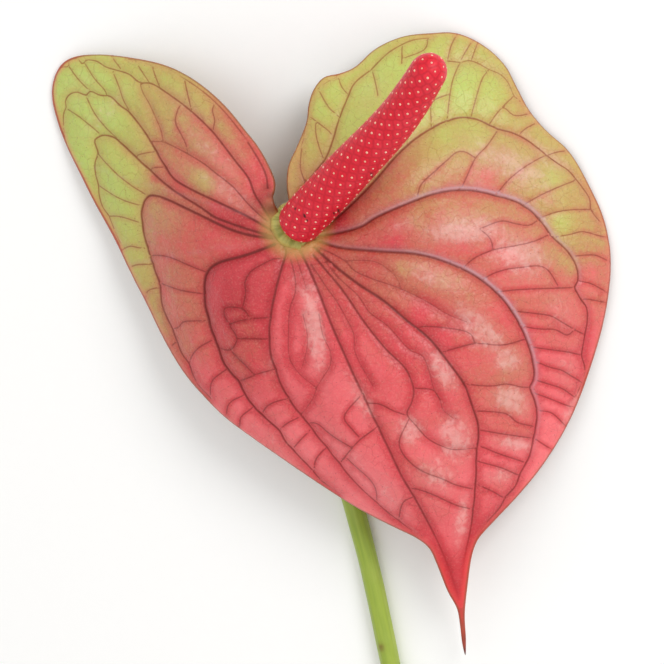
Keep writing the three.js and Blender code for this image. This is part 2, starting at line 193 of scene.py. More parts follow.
SIDE_VEINS = [
    # across the left half, from the margin inwards
    [(-46.2, 20.2), (-43.5, 17.8), (-40.6, 15.2), (-37.1, 12.4), (-34.2, 10.2)],
    [(-45.8, 12.5), (-42.2, 10.5), (-38.5, 8.7), (-35.1, 7.4)], [(-43.6, 5.2), (-40.4, 5.1), (-35.3, 3.4)],
    [(-39.9, -2.8), (-38, -2.1), (-35.8, -2.5), (-33.7, -2.8)], [(-38.1, -7), (-36.1, -6.5), (-32.5, -6.5)],
    [(-34.5, -14.5), (-33.8, -12.8), (-31.2, -12.1)], [(-28.5, -26.4), (-27.1, -25.2)],
    [(-33.1, -4.5), (-29.7, -4.4), (-26.2, -5.2), (-22.7, -6.9), (-19.4, -8.6)],
    [(-31, -10.9), (-27.6, -11.8), (-24.5, -12.7), (-19.9, -13.7)],
    [(-27.9, -22), (-26, -21.5), (-24.4, -20.1), (-21.8, -19.9), (-19.2, -19.8)],
    [(-23.7, -29.9), (-22.6, -28), (-20.7, -26.1), (-17.8, -24.4)],
    [(-18.8, -38.2), (-18.3, -35), (-17.5, -33.6), (-14.8, -31.5)],
    [(-14.7, -42), (-14.3, -40), (-13, -38.6), (-10.9, -37.6)],
    [(-11.6, -44.4), (-11.3, -42.7), (-8.7, -40.5)],
    [(-11.4, -23.8), (-8.4, -23.9), (-4.5, -24.3)], [(-13.1, -20.4), (-9.7, -19.5), (-4.7, -19.3)],
    [(-10.1, -17), (-14.1, -16.8), (-14.3, -18.3), (-13.1, -20.7), (-11.4, -23.8), (-13.1, -26.5),
     (-16.4, -26.4)],
    [(-13.1, -26.5), (-11.1, -28.7), (-10, -29.6)],
    [(-11.8, -34.2), (-9.1, -33.1), (-6.4, -32), (-3, -31.3)],
    [(-3.4, -5.9), (-5.7, -7), (-8.4, -8.7), (-9.6, -11.1), (-9.4, -13.4)],
    [(-6.5, -42), (-4.8, -39.8), (-3.1, -38.8), (0, -38.1)], [(-2.4, -45.9), (-0.3, -43.9), (2.9, -42.3)],
    [(2.8, -47.9), (5, -45.5)], [(5.9, -55.3), (6.4, -52.6), (8.4, -50)],
    [(12.4, -52.8), (13.8, -51), (15.1, -49.4), (17.1, -47.2), (19.8, -45.2)],
    [(25.9, -66.8), (26.4, -63.5), (27.1, -61.8), (28.8, -61.1)],
    [(20.7, -61.8), (20.7, -59.3), (19.8, -57.1), (17.1, -54.5)],
    [(6.8, -43.7), (10.1, -46.1), (13.8, -48.2)],
    [(13.8, -41), (13.5, -42.3), (15.5, -45), (17.3, -47)],
    # in the left lobe
    [(-49.2, 41.6), (-46.6, 38), (-44.1, 34.9)], [(-53.3, 41.2), (-50.3, 37.6), (-48.1, 35.3)],
    [(-42.3, 39.5), (-40.5, 35.8), (-39.4, 32.4), (-38.4, 30.3)],
    [(-49, 34.1), (-46.6, 30.2), (-44.5, 27.2), (-41.3, 23.6), (-37.7, 20)],
    [(-54.2, 31.4), (-50.2, 29.1), (-47.3, 26.7), (-45.5, 24.8)],
    [(-24.9, 36.9), (-24.1, 34.1), (-23, 29.6)],
    [(-18, 29.5), (-17.4, 26.8), (-17.9, 24.4)],
    [(-26.2, 29.4), (-26.4, 26.6), (-25.1, 23.9), (-23.8, 20.6)],
    [(-32.8, 40.7), (-31.8, 37.9), (-31, 35.8)], [(-37, 41.9), (-34.9, 38.9), (-33.8, 37.2)],
    [(-42.7, 43.1), (-40.6, 40.3)], [(-32.5, 16.2), (-30, 16.3)], [(-36.3, 19.3), (-32, 20)],
    # across the right half, from the midrib outwards
    [(21.2, -39.2), (24.6, -40.9), (27.3, -42)],
    [(25.9, -46.9), (25.8, -49), (27.6, -52), (30.7, -54.4), (35.1, -56.2), (38.5, -57.9)],
    [(29, -58.8), (33, -59.8), (39, -62.9), (42.6, -64.2)], [(29, -35.7), (33.2, -36.2), (34.9, -38.5)],
    [(34.9, -27.5), (42.6, -25.3), (48.7, -25.5), (54.5, -24.4)],
    [(30.5, -21.6), (36, -21.8), (41.6, -23.1), (42.6, -25.3)],
    [(40.4, -34.8), (46, -35), (50, -34.5), (53.4, -35.3), (56, -35.6)],
    [(45.2, -41), (49.9, -41.5), (52.3, -43.4), (57.5, -44.9)],
    [(44.1, -45.5), (50.6, -46.4), (56.8, -47.6)],
    [(44.5, -49.4), (47.9, -50.7), (51.3, -51.9), (55.2, -53.4)],
    [(43.7, -52.8), (49, -54.2), (53.8, -56.5)],
    [(43.9, -58.4), (47.4, -60), (49.7, -61.4)],
    [(40.3, -7.7), (42.6, -5.7), (46.7, -3.9), (51.4, -3), (56.1, -1.9), (59.5, -0.5)],
    [(46.7, -3.9), (46, -1.4), (43.6, 0.9)], [(46.6, -9.4), (49.4, -8.4), (52.7, -7.9), (58.5, -7.8)],
    [(48.7, 2.7), (52.1, 2.1), (55.4, 1.9), (57.8, 3.3)], [(48.4, -13.4), (52.7, -12.9), (66.5, -12.3)],
    [(51.4, -17.8), (56.1, -18.2), (60.2, -18.8), (63, -20.3), (68.4, -23)],
    [(53.4, -21.3), (57.5, -21.8), (61.2, -21.9), (64.3, -23.2)],
    [(55.8, -26.1), (63.6, -27), (68.3, -28.1)],
    [(57.5, -29.7), (60.3, -30.7), (63.1, -31.4), (65.5, -32.8), (68.2, -34.4)],
    [(57, -33.8), (60.6, -34.8), (63.3, -35.7), (66.8, -38)], [(56.5, -36.8), (60.2, -38), (65, -39.9)],
    [(57.7, -41), (61, -41.5), (64.5, -44.5)], [(57, -47.5), (60, -49.5)],
    [(39.6, 10.1), (40.9, 13.1), (42.7, 17), (45.4, 19.9), (48.5, 24.3)],
    [(30.3, 10.8), (33.7, 14.1), (36.4, 16.5), (38.4, 18.2), (40.1, 18.4), (42.7, 17)],
    [(50, 11.7), (52.5, 13.9), (55.6, 16), (58.9, 17.9)],
    [(54.4, 6.7), (57.1, 8.3), (60.6, 10), (64, 11.5), (66.3, 12.5)],
    [(58, 3.7), (62.2, 5.1), (65.6, 5.6), (70.4, 5.9)],
    # from the outer loops to the right margin and round the right lobe
    [(61.9, -0.7), (65, -0.1), (67.8, 0.6), (71.8, -0.2), (74, -0.7)],
    [(65.8, -5.1), (71.1, -4.8), (74.1, -6)],
    [(67.4, -10.8), (70.2, -11.4), (74.1, -13.3)], [(69.3, -15), (72.5, -15.5)], [(33, 25.3), (33.2, 30)],
    [(36.7, 26.8), (37.2, 31.3), (38.1, 35.8), (39.9, 40.3)],
    [(42.2, 27.2), (43, 30.3), (44, 33.7), (45.1, 36.5), (46.5, 38.4)],
    [(46.6, 25.7), (48.3, 28.2), (50.3, 30.4), (52.4, 32.4)], [(53.3, 23.1), (55, 24.6), (57.4, 25.9)],
    [(50.3, 29.1), (52, 27.7), (55, 28)], [(59.9, 18.3), (62.3, 19.1), (65, 19.5)],
    [(37, 40.9), (37.8, 44.1), (39, 46.5)], [(40.1, 40.7), (42.5, 44.9)], [(42.5, 40.7), (43.8, 44.2)],
    [(26.4, 44.3), (26.4, 39.7)], [(32.5, 46), (31.7, 43.3)], [(19.4, 38.5), (20.2, 35.4), (20.9, 31.7)],
    [(4.9, 27.6), (6.3, 26.3), (9.5, 23.7), (10.1, 23)],
    [(6.8, 34), (8.1, 31.4), (9.5, 29.2), (11.8, 27.2)],
    [(11.2, 37.2), (12.5, 34), (14, 32.5)], [(6.3, 26.3), (6.3, 23.5), (7.1, 20), (8.1, 17.3)],
]

# How green the tissue still is, from 0 (red) to 1, at spots named (u, v).
GREEN_SPOTS = [
    (-53, 40, 1.0), (-46, 37, 1.0), (-51, 29, 1.0), (-42, 34, 0.9), (-34, 38, 0.85), (-34, 30, 0.65),
    (-43, 27, 1.0), (-49, 20, 1.0), (-50, 14.5, 0.95), (-41, 17, 0.9), (-38, 21, 0.7), (-41, 10, 0.95),
    (-39, 6, 0.85), (-44, 3, 0.9), (-38, 0, 0.8), (-37, -5, 0.75), (-34, -10, 0.6), (-31, -18, 0.45),
    (-26, -27, 0.3), (-26, 36, 0.7), (-22, 31, 0.55), (-14, 27, 0.45), (-9, 20, 0.3), (-7, 14, 0.2),
    (-28, 27, 0.5), (-26, 24, 0.4), (-20, 23, 0.36), (-15, 18, 0.3), (-20, 13.5, 0.5), (-25, 17, 0.35),
    (-31, 14, 0.4), (-26, 12.2, 0.3), (-13, 8, 0.26), (-8, 9, 0.2), (-28, 5, 0.34), (-30, -3, 0.3),
    (-27, -9, 0.28), (-24, -17, 0.26), (-22, -24, 0.22), (-21, 2, 0.2), (-12, 3, 0.12), (-14, -11, 0.0),
    (-18, -33, 0.12), (-6, -45, 0.06), (0, -20, 0.0), (10, -30, 0.0), (20, -55, 0.0), (38, -80, 0.0),
    (6, 20, 0.7), (8, 30, 0.9), (14, 24, 0.85), (17, 34, 0.9), (23, 40, 0.95), (30, 43, 0.85),
    (38, 45, 0.75), (30, 34, 0.95), (40, 34, 1.0), (47, 33, 0.9), (48, 41, 0.65), (54, 29, 0.6),
    (36, 23, 0.8), (29, 20, 0.5), (24, 14, 0.4), (43, 21, 0.7), (35, 13, 0.42), (49, 19, 0.5), (55, 19, 0.5),
    (45, 13, 0.34), (53, 11, 0.42), (61, 13, 0.75), (66, 15, 0.6), (66, 8, 0.5), (60, 6.5, 0.42),
    (63, 2.5, 0.7), (69, 2, 0.45), (66, -7, 0.5), (70, -9, 0.25), (57, 1, 0.4), (48, 5, 0.4),
    (38, 6, 0.42), (28, 4, 0.3), (18, 8, 0.28), (12, 3, 0.15), (50, -5, 0.24), (60, -10, 0.26),
    (40, -2, 0.2), (25, -2, 0.16), (18, -6, 0.24), (26, -9, 0.34), (36, -12, 0.34), (42, -18, 0.3),
    (50, -20, 0.16), (50, -30, 0.28), (53, -40, 0.26), (48, -38, 0.22), (62, -18, 0.24), (62, -28, 0.12),
    (70, -25, 0.1), (30, -18, 0.12), (34, -26, 0.04), (50, -52, 0.06), (60, -45, 0.0), (0, -9, 0.1),
]

# How deep the red is, from 0 (pale coral) to 1 (crimson).
DEPTH_SPOTS = [
    (-10, -12, 0.8), (-14, -17, 0.75), (-8, -20, 0.7), (-10, -28, 0.6), (-6, -36, 0.45), (0, -12, 0.4),
    (2, -26, 0.25), (6, -24, 0.15), (10, -10, 0.5), (12, -16, 0.4), (17, -26, 0.35), (23, -34, 0.45),
    (16, -8, 0.6), (28, -9, 0.6), (36, -14, 0.55), (44, -20, 0.45), (34, -22, 0.55), (26, -22, 0.5),
    (36, -40, 0.5), (30, -50, 0.3), (22, -50, 0.2), (10, -44, 0.25), (4, -50, 0.15), (34, -62, 0.25),
    (37, -72, 0.35), (42.3, -76, 0.95), (36.5, -80, 0.9), (39.5, -80, 0.5), (41, -88, 0.9), (41, -98, 0.7),
    (48, -30, 0.4), (52, -42, 0.4), (48, -56, 0.25), (60, -32, 0.3), (62, -44, 0.15),
    (56, -56, 0.15), (64, -20, 0.35), (60, -12, 0.35), (52, -8, 0.35), (50, -1, 0.4), (35, -1, 0.5),
    (20, 0, 0.7), (12, 1, 0.7), (20, 6, 0.6), (-24, 8, 0.5), (-28, 0, 0.45), (-28, -8, 0.5),
    (-24, -16, 0.45), (-20, -28, 0.4), (-12, -38, 0.25), (-15, 10, 0.35), (-12, 14, 0.3), (-20, 22, 0.3),
    (-7, 7, 0.65), (-12, 2, 0.65), (-18, 0, 0.6), (-9, 11, 0.3), (-40, 20, 0.5), (0, -48, 0.1),
    (20, -62, 0.1), (70, -16, 0.2), (71, -26, 0.35), (20, 20, 0.4), (50, 18, 0.3),
]

# Pale patches, partly waxy bloom and partly painted sheen, as (u, v, half length, half width, direction in
# degrees, strength).
BLOOM_AND_SHEEN_PATCHES = [
    (6, -21, 11, 2.4, -80, 1.0), (2, -12, 4, 1.6, -80, 0.5), (40, 0.5, 9, 3, 5, 1.0),
    (27, 2, 4, 1.8, 15, 0.6), (53, -5, 7, 4.5, -20, 0.9), (51, 16, 11, 3.4, -25, 0.8),
    (33, -10.5, 7, 2, -28, 0.7), (44, -22, 8, 3, -45, 0.9), (50, -29, 3.5, 3, 0, 0.9),
    (51, -38, 4.5, 3.4, -20, 0.95), (35, -31, 6.5, 2.4, -58, 0.9), (17, -38, 7, 1.8, -62, 0.7),
    (52, -48.5, 5, 2, -12, 0.9), (28, -45, 3, 3.5, 20, 0.9), (38, -47, 4, 6, 10, 0.9),
    (34, -55, 5, 3.5, -35, 0.75), (49, -56, 3.5, 2, 0, 0.7), (40, -67, 1.6, 7, -5, 0.85),
    (66.5, -40, 6, 1.6, 62, 0.7), (60, 17, 5, 2.5, -35, 0.5), (62, -18, 6, 3, -70, 0.5),
    (64, -31, 5, 2.5, -80, 0.4), (-44, 30, 8, 2.4, 45, 0.45), (-50, 36, 5, 4, 30, 0.35),
    (-14, 10, 9, 2.4, -38, 0.6), (-18, 20, 9, 2.4, -42, 0.5), (-24, 30, 6, 2.4, -42, 0.35),
    (2, 28, 1, 5, 5, 0.6), (-29, 4, 4, 3, 30, 0.3), (-3, -48, 9, 2, -38, 0.4),
    (14, -49, 6, 2.5, -50, 0.4), (24, -60, 6, 2.2, -50, 0.5), (20, 33, 5, 3, 60, 0.3),
    (38, 38, 5, 3, 20, 0.3), (-4, -30, 6, 1.5, 80, 0.3),
]

# How red the margin is, from 0 (thin and brown) to 1 (a red band), as (u, v, redness).
BLUSH_SPOTS = [
    (-57, 39, 1.0), (-57.5, 33, 1.0), (-51, 15.6, 1.0), (-42.5, -0.3, 0.95), (-35, -15, 0.8), (-25, -33, 0.4),
    (-10, -47, 0.2), (10, -60.7, 0.2), (25, -69, 0.4), (35, -78, 0.6), (41, -97, 0.6), (43, -75, 0.7),
    (53, -61, 0.5), (65, -45, 0.6), (71, -30, 0.7), (75, -10, 0.7), (73.7, 3.6, 0.5), (65, 19, 0.2),
    (50, 40, 0.2), (39, 47.5, 0.5), (26, 46.6, 0.2), (12, 38, 0.5), (5.5, 34, 0.2), (-0.5, 14, 0.4),
    (-3, 10, 0.1), (-10, 24, 0.0), (-25, 38.4, 0.0), (-45.9, 44, 0.1),
]

# Dark places as (u, v, radius, strength): painted shade in the fold where the notch's margin curls up, and
# the dried tip.
STAINS_AND_FOLD_SHADE = [
    (-3.9, 6.2, 1.6, 0.75), (-4.4, 8.6, 1.2, 0.6), (-5.2, 10.6, 1.0, 0.35), (41.8, -99.5, 1.8, 0.85),
    (41.4, -96, 1.2, 0.35),
]

# The spadix's axis, its radius at shares of its length, and its dark marks as (u, v, radius).
SPADIX_AXIS = [
    (0.9, 1.0, 0.6), (3.6, 3.9, 4.4), (13.4, 13.8, 15.6), (24.7, 25.5, 28), (31.2, 34.9, 37.4),
    (33, 38.3, 40.4),
]
SPADIX_GIRTH = [(0, 5.1), (0.12, 5.35), (0.35, 5.35), (0.6, 4.95), (0.8, 4.55), (0.93, 4.25), (1, 3.9)]
SPADIX_MARKS = [
    (3.6, 3.9, 0.5), (4.2, 2.9, 0.3), (1.5, 5.6, 0.3), (11.4, 5, 0.5), (10.4, 4.5, 0.35),
    (18.9, 12.9, 0.5),
]
# Tints that the skins mix with their main colours.
TINTS = {
    "mid_red": "#D84850", "olive": "#C2A25E", "leaf": "#BFBE62", "fleck": "#F7C2B0", "pale_red_vein":
    "#A5202A", "tip_vein": "#C01222", "dusty_sheen": "#D9A9A0", "lip": "#CDB0BA", "tip": "#EC2430", "throat":
    "#C8A45A", "dirt": "#7A2A20", "band": "#F0776A", "dried_tip_and_fold_shade": "#57190F", "underside": "#B9A070",
    "bright_floret": "#E62D40", "dark_floret": "#A30F22", "floret_mark": "#3A0A0A", "dark_stigma":
    "#EDA98F", "pale_stem": "#B3BF58", "stem_blemish": "#7A5A22", "fibre": "#8E9446", "collar_spoke":
    "#8F8F35",
}
GOLDEN_ANGLE = math.pi * (3 - math.sqrt(5))
ASIDE = (0.31, 0.9, 0.2)  # a direction that no swept piece runs along
MARKED_HEIGHT = 3  # the spadix's marks lie on its upper side, above this

# Spacings in millimetres, and counts, of the meshes.
VEIN_STEP = 0.12
RIM_STEP = 0.6
DENSE_RIM_STEP = 0.15
RIM_ROWS = (0.12, 0.32, 0.65, 1.1)
SPADIX_RINGS = 330
SPADIX_SIDES = 168
COLLAR_SIDES = 72
STEM_STEP = 0.8
STEM_SIDES = 56

# Where the stage's lights and camera are, in the blade frame.
KEY_PLACE = (300, 260, 640)
FILL_PLACE = (-480, 60, 560)
LOW_PLACE = (120, -620, 380)
LIT_POINT = (12, -20, 0)
SEEN_POINT = (9.9, -22.8, -8)
SKY_STRENGTH = 0.6


def linear(code):
    """A hexadecimal display colour as the scene-linear RGBA that a shader takes."""
    shares = [int(code[i:i + 2], 16) / 255 for i in (1, 3, 5)]
    return tuple(s / 12.92 if s <= 0.04045 else ((s + 0.055) / 1.055) ** 2.4 for s in shares) + (1.0,)


def tint(name):
    return linear(TINTS[name])


def colour_setting(name, description, code):
    return bpy.props.FloatVectorProperty(
        name=name, description=description, subtype="COLOR", size=4, min=0, max=1, default=linear(code))


def length_setting(name, description, millimetres):
    return bpy.props.FloatProperty(
        name=name, description=description, default=millimetres * MM, min=0, subtype="DISTANCE",
        unit="LENGTH")


class SpatheSettings(bpy.types.PropertyGroup):
    thickness: length_setting("Thickness", "Thickness of the blade between its veins", 0.8)
    swell: length_setting("Swell", "How far the tissue swells between the main veins", 2.0)
    groove: length_setting("Groove", "Depth of the widest veins in the upper face", 0.4)
    rib: length_setting("Rib", "How far the widest veins stand out of the underside", 0.55)
    mesh_size: length_setting("Mesh size", "Spacing of the mesh between the veins", 1.1)
    coral: colour_setting("Coral", "Palest red of the ripe tissue", "#FF7E82")
    crimson: colour_setting("Crimson", "Deepest red of the ripe tissue", "#B0232E")
    tan: colour_setting("Tan", "Tissue halfway between red and green", "#C0805C")
    green: colour_setting("Green", "Tissue that has stayed green", "#BECD6A")
    vein: colour_setting("Vein", "Main veins in red tissue", "#6E0F0A")
    green_vein: colour_setting("Green vein", "Veins in green tissue", "#8A300F")
    rim: colour_setting("Rim", "The margin's edge where it is plain", "#8E5A33")
    red_rim: colour_setting("Red rim", "The margin's edge where it has reddened", "#B5382B")
    # Pale waxy bloom, partly a painted sheen that stands in for the gloss's reflection.
    bloom: colour_setting("Bloom", "Pale waxy patches", "#F2CBC2")


class SpadixSettings(bpy.types.PropertyGroup):
    florets: bpy.props.IntProperty(
        name="Florets", description="Number of florets in the spiral", default=370, min=10, max=900)
    floret_height: length_setting("Floret height", "How far a floret swells out of the spadix", 0.09)
    stigma: length_setting("Stigma", "Radius of a floret's stigma", 0.29)
    red: colour_setting("Red", "The florets", "#E0152D")
    # Darker red painted as shade in the creases between the florets.
    crease: colour_setting("Crease", "Between the florets", "#C01228")
    cream: colour_setting("Cream", "The stigmas", "#F3BCA2")


class StemSettings(bpy.types.PropertyGroup):
    radius: length_setting("Radius", "Radius of the stem under the spathe", 2.6)
    end_radius: length_setting("End radius", "Radius at the cut end", 2.25)
    flare: length_setting("Flare", "Radius where the stem meets the collar", 3.6)
    green: colour_setting("Green", "The stem's skin", "#9FB33E")
    shade: colour_setting("Shade", "Darker streaks in the skin", "#8FA636")
    pith: colour_setting("Pith", "Inside, at the cut end", "#D5DBA0")
    collar: colour_setting("Collar", "The collar round the spadix", "#C3BC66")


class StageSettings(bpy.types.PropertyGroup):
    distance: length_setting("Distance", "From the middle of the flower to the camera", 867)
    floor: colour_setting("Floor", "The plain surface under the flower", "#FFFFFE")
    key_power: bpy.props.FloatProperty(
        name="Key power", description="Power of the large soft light", default=2.6, min=0, subtype="POWER")


# ---- curves, meshes and fields -------------------------------------------------------------------

def to_row(points):
    """Blade millimetres to metres in the row's frame."""
    return np.asarray(points, float) @ TURN.T * MM + START


def curve(points, spacing):
    """Evenly spaced points along a centripetal Catmull-Rom curve through the given ones."""
    given = np.asarray(points, float)
    given = np.vstack([2 * given[0] - given[1], given, 2 * given[-1] - given[-2]])
    pieces = []
    for ends in zip(given, given[1:], given[2:], given[3:]):
        steps = [max(np.linalg.norm(b - a), 1e-6) ** 0.5 for a, b in zip(ends, ends[1:])]
        knot = np.cumsum([0, *steps])
        t = np.linspace(knot[1], knot[2], 16)[:-1, None]

        def between(a, b, i, j):
            return ((knot[j] - t) * a + (t - knot[i]) * b) / (knot[j] - knot[i])

        first = [between(ends[i], ends[i + 1], i, i + 1) for i in range(3)]
        second = [between(first[i], first[i + 1], i, i + 2) for i in range(2)]
        pieces.append(between(second[0], second[1], 1, 2))
    fine = np.vstack([*pieces, given[-2]])
    along = np.concatenate([[0], np.cumsum(np.linalg.norm(np.diff(fine, axis=0), axis=1))])
    even = np.linspace(0, along[-1], max(2, round(along[-1] / spacing) + 1))
    return np.column_stack([np.interp(even, along, column) for column in fine.T])


def directions(line):
    """Unit directions along a line of points."""
    steps = np.gradient(line, axis=0)
    return steps / np.linalg.norm(steps, axis=1)[:, None]


def thin_plate(spots, softness=2.0):
    """The smoothest sheet that passes near all the (u, v, w) spots, as a function of u and v."""
    spots = np.asarray(spots, float)
    count = len(spots)

    def bend(at):
        square = ((at[:, None, :2] - spots[None, :, :2]) ** 2).sum(2)
        return 0.5 * square * np.log(np.maximum(square, 1e-12))

    system = np.zeros((count + 3, count + 3))
    system[:count, :count] = bend(spots) + softness * np.eye(count)
    system[:count, count] = system[count, :count] = 1
    system[:count, count + 1:] = spots[:, :2]
    system[count + 1:, :count] = spots[:, :2].T
    weights = np.linalg.solve(system, np.concatenate([spots[:, 2], np.zeros(3)]))
    return lambda at: bend(at) @ weights[:count] + weights[count] + at @ weights[count + 1:]


def nearest(points, places):
    """For each place, the index of the nearest point and the distance to it."""
    tree = KDTree(len(points))
    for i, p in enumerate(points):
        tree.insert((p[0], p[1], p[2] if len(p) > 2 else 0), i)
    tree.balance()
    found = [tree.find((p[0], p[1], p[2] if len(p) > 2 else 0)) for p in places]
    return np.array([f[1] for f in found]), np.array([f[2] for f in found])


def inside(places, outline):
    """Whether each place lies inside a closed outline."""
    a, b = outline, np.roll(outline, -1, axis=0)
    hits = np.zeros(len(places), int)
    for (x0, y0), (x1, y1) in zip(a, b):
        if y0 == y1:
            continue
        crossing = (places[:, 1] >= min(y0, y1)) & (places[:, 1] < max(y0, y1))
        hits += crossing & (places[:, 0] < x0 + (places[:, 1] - y0) * (x1 - x0) / (y1 - y0))
    return hits % 2 == 1


def thinned(candidates, gap, taken=()):
    """The candidates that keep a gap to the taken points and to each other, earlier ones first."""
    cells = {}
    kept = []
    for index, (x, y) in enumerate([*taken, *candidates]):
        cell = (math.floor(x / gap), math.floor(y / gap))
        around = [cells.get((cell[0] + i, cell[1] + j), ()) for i in (-1, 0, 1) for j in (-1, 0, 1)]
        close = any((x - p) ** 2 + (y - q) ** 2 < gap * gap for points in around for p, q in points)
        if index >= len(taken) and close:
            continue
        cells.setdefault(cell, []).append((x, y))
        if index >= len(taken):
            kept.append((x, y))
    return np.array(kept).reshape(-1, 2)


def links_of(faces):
    """The mesh's edges, each once."""
    pairs = np.vstack([faces[:, [0, 1]], faces[:, [1, 2]], faces[:, [2, 0]]])
    return np.unique(np.sort(pairs, axis=1), axis=0)


def spread(field, links, ease, rounds, held=None):
    """Lets a value flow along the mesh's edges, as easily as each edge says, round held places."""
    a, b = links.T
    count = len(field)
    start = field.copy()
    total = np.bincount(a, ease, count) + np.bincount(b, ease, count)
    for _ in range(rounds):
        pull = np.bincount(a, ease * field[b], count) + np.bincount(b, ease * field[a], count)
        field = pull / np.maximum(total, 1e-9)
        if held is not None:
            field = np.where(held, start, field)
    return field


def from_spots(spots, places, links, ease):
    """A value over the blade from (u, v, value) spots: even inside a cell, with steps at the veins."""
    spots = np.asarray(spots, float)
    gap = np.linalg.norm(places[:, None] - spots[None, :, :2], axis=2)
    weight = 1 / (gap ** 3 + 2)
    field = (weight * spots[:, 2]).sum(1) / weight.sum(1)
    held = gap.min(1) < 1.3
    field[held] = spots[gap.argmin(1), 2][held]
    return spread(field, links, ease, 220, held)


def face_normals_at(points, faces):
    """Unit normals at the points of a triangle mesh."""
    a, b, c = (points[faces[:, i]] for i in range(3))
    cross = np.cross(b - a, c - a)
    normals = np.column_stack([
        sum(np.bincount(faces[:, i], cross[:, axis], len(points)) for i in range(3)) for axis in range(3)])
    return normals / np.maximum(np.linalg.norm(normals, axis=1), 1e-9)[:, None]


def swept(centres, radii, sides, along):
    """Rings square to their directions, closed by a point at each end: points, faces, turn, ring."""
    across = np.cross(along[0], ASIDE)
    rings = []
    turn = np.arange(sides) * 2 * math.pi / sides
    for centre, radius, ahead in zip(centres, radii, along):
        across = across - ahead * (across @ ahead)
        across /= np.linalg.norm(across)
        other = np.cross(ahead, across)
        rings.append(centre + radius * (np.cos(turn)[:, None] * across + np.sin(turn)[:, None] * other))
    count = len(centres)
    points = np.vstack([*rings, centres[0], centres[-1]])
    k = np.arange(sides)
    after = (k + 1) % sides
    faces = []
    for i in range(count - 1):
        low, high = i * sides, (i + 1) * sides
        faces += [np.column_stack([low + k, low + after, high + after, high + k])]
    quads = np.vstack(faces).tolist()
    foot, head = count * sides, count * sides + 1
    fans = [[foot, int(b), int(a)] for a, b in zip(k, after)]
    top = (count - 1) * sides
    fans += [[head, int(top + a), int(top + b)] for a, b in zip(k, after)]
    turns = np.concatenate([np.tile(turn, count), [0, 0]])
    ring = np.concatenate([np.repeat(np.arange(count), sides), [0, count - 1]])
    return points, quads + fans, turns, ring


def new_piece(name, points, faces, material, fields):
    """A smooth mesh object in the row's frame, with its fields as attributes of its points."""
    mesh = bpy.data.meshes.new(name)
    mesh.from_pydata(to_row(points).tolist(), [], faces)
    mesh.shade_smooth()
    for field, values in fields.items():
        values = np.asarray(values, np.float32)
        kind, slot = ("FLOAT", "value") if values.ndim == 1 else ("FLOAT_VECTOR", "vector")
        mesh.attributes.new(field, kind, "POINT").data.foreach_set(slot, values.ravel())
    mesh.materials.append(material)
    mesh.validate()
    piece = bpy.data.objects.new(name, mesh)
    bpy.context.scene.collection.objects.link(piece)
    return piece


# ---- materials -----------------------------------------------------------------------------------

class Recipe:
    """A material whose nodes are added and joined one call at a time."""

    def __init__(self, name):
        self.material = bpy.data.materials.new(name)
        self.material.use_nodes = True
        self.tree = self.material.node_tree
        self.shader = self.tree.nodes["Principled BSDF"]

    def feed(self, socket, value):
        if isinstance(value, bpy.types.NodeSocket):
            self.tree.links.new(value, socket)
        else:
            socket.default_value = value

    def add(self, kind, inputs=None, **settings):
        node = self.tree.nodes.new(kind)
        for key, value in settings.items():
            setattr(node, key, value)
        for key, value in (inputs or {}).items():
            self.feed(node.inputs[key], value)
        return node

    def field(self, name, vector=False):
        node = self.add("ShaderNodeAttribute", attribute_name=name)
        return node.outputs["Vector" if vector else "Fac"]

    def sum(self, operation, a, b, clamp=False):
        return self.add("ShaderNodeMath", {0: a, 1: b}, operation=operation, use_clamp=clamp).outputs[0]

    def fade(self, value, start, end, low=0.0, high=1.0):
        """A smooth step from low at start to high at end."""
        inputs = {"Value": value, "From Min": start, "From Max": end, "To Min": low, "To Max": high}
        return self.add("ShaderNodeMapRange", inputs, interpolation_type="SMOOTHSTEP").outputs[0]

    def mix(self, share, a, b, blend="MIX"):
        inputs = {0: share, 6: a, 7: b}
        return self.add("ShaderNodeMix", inputs, data_type="RGBA", blend_type=blend).outputs[2]

    def ramp(self, value, stops):
        node = self.add("ShaderNodeValToRGB", {"Fac": value})
        elements = node.color_ramp.elements
        while len(elements) < len(stops):
            elements.new(0.5)
        for element, (place, colour) in zip(elements, stops):
            element.position = place
            element.color = colour
        return node.outputs["Color"]

    def noise(self, place, scale, detail=3.0, warp=0.0):
        inputs = {"Vector": place, "Scale": scale, "Detail": detail, "Distortion": warp}
        return self.add("ShaderNodeTexNoise", inputs).outputs[0]

    def cells(self, place, scale, feature="DISTANCE_TO_EDGE"):
        inputs = {"Vector": place, "Scale": scale}
        node = self.add("ShaderNodeTexVoronoi", inputs, feature=feature, voronoi_dimensions="2D")
        return node.outputs["Distance"]

    def bump(self, height, strength, distance, over=None):
        inputs = {"Height": height, "Strength": strength, "Distance": distance}
        if over is not None:
            inputs["Normal"] = over
        return self.add("ShaderNodeBump", inputs).outputs["Normal"]

    def finish(self, **sockets):
        for name, value in sockets.items():
            self.feed(self.shader.inputs[name.replace("_", " ")], value)
        return self.material


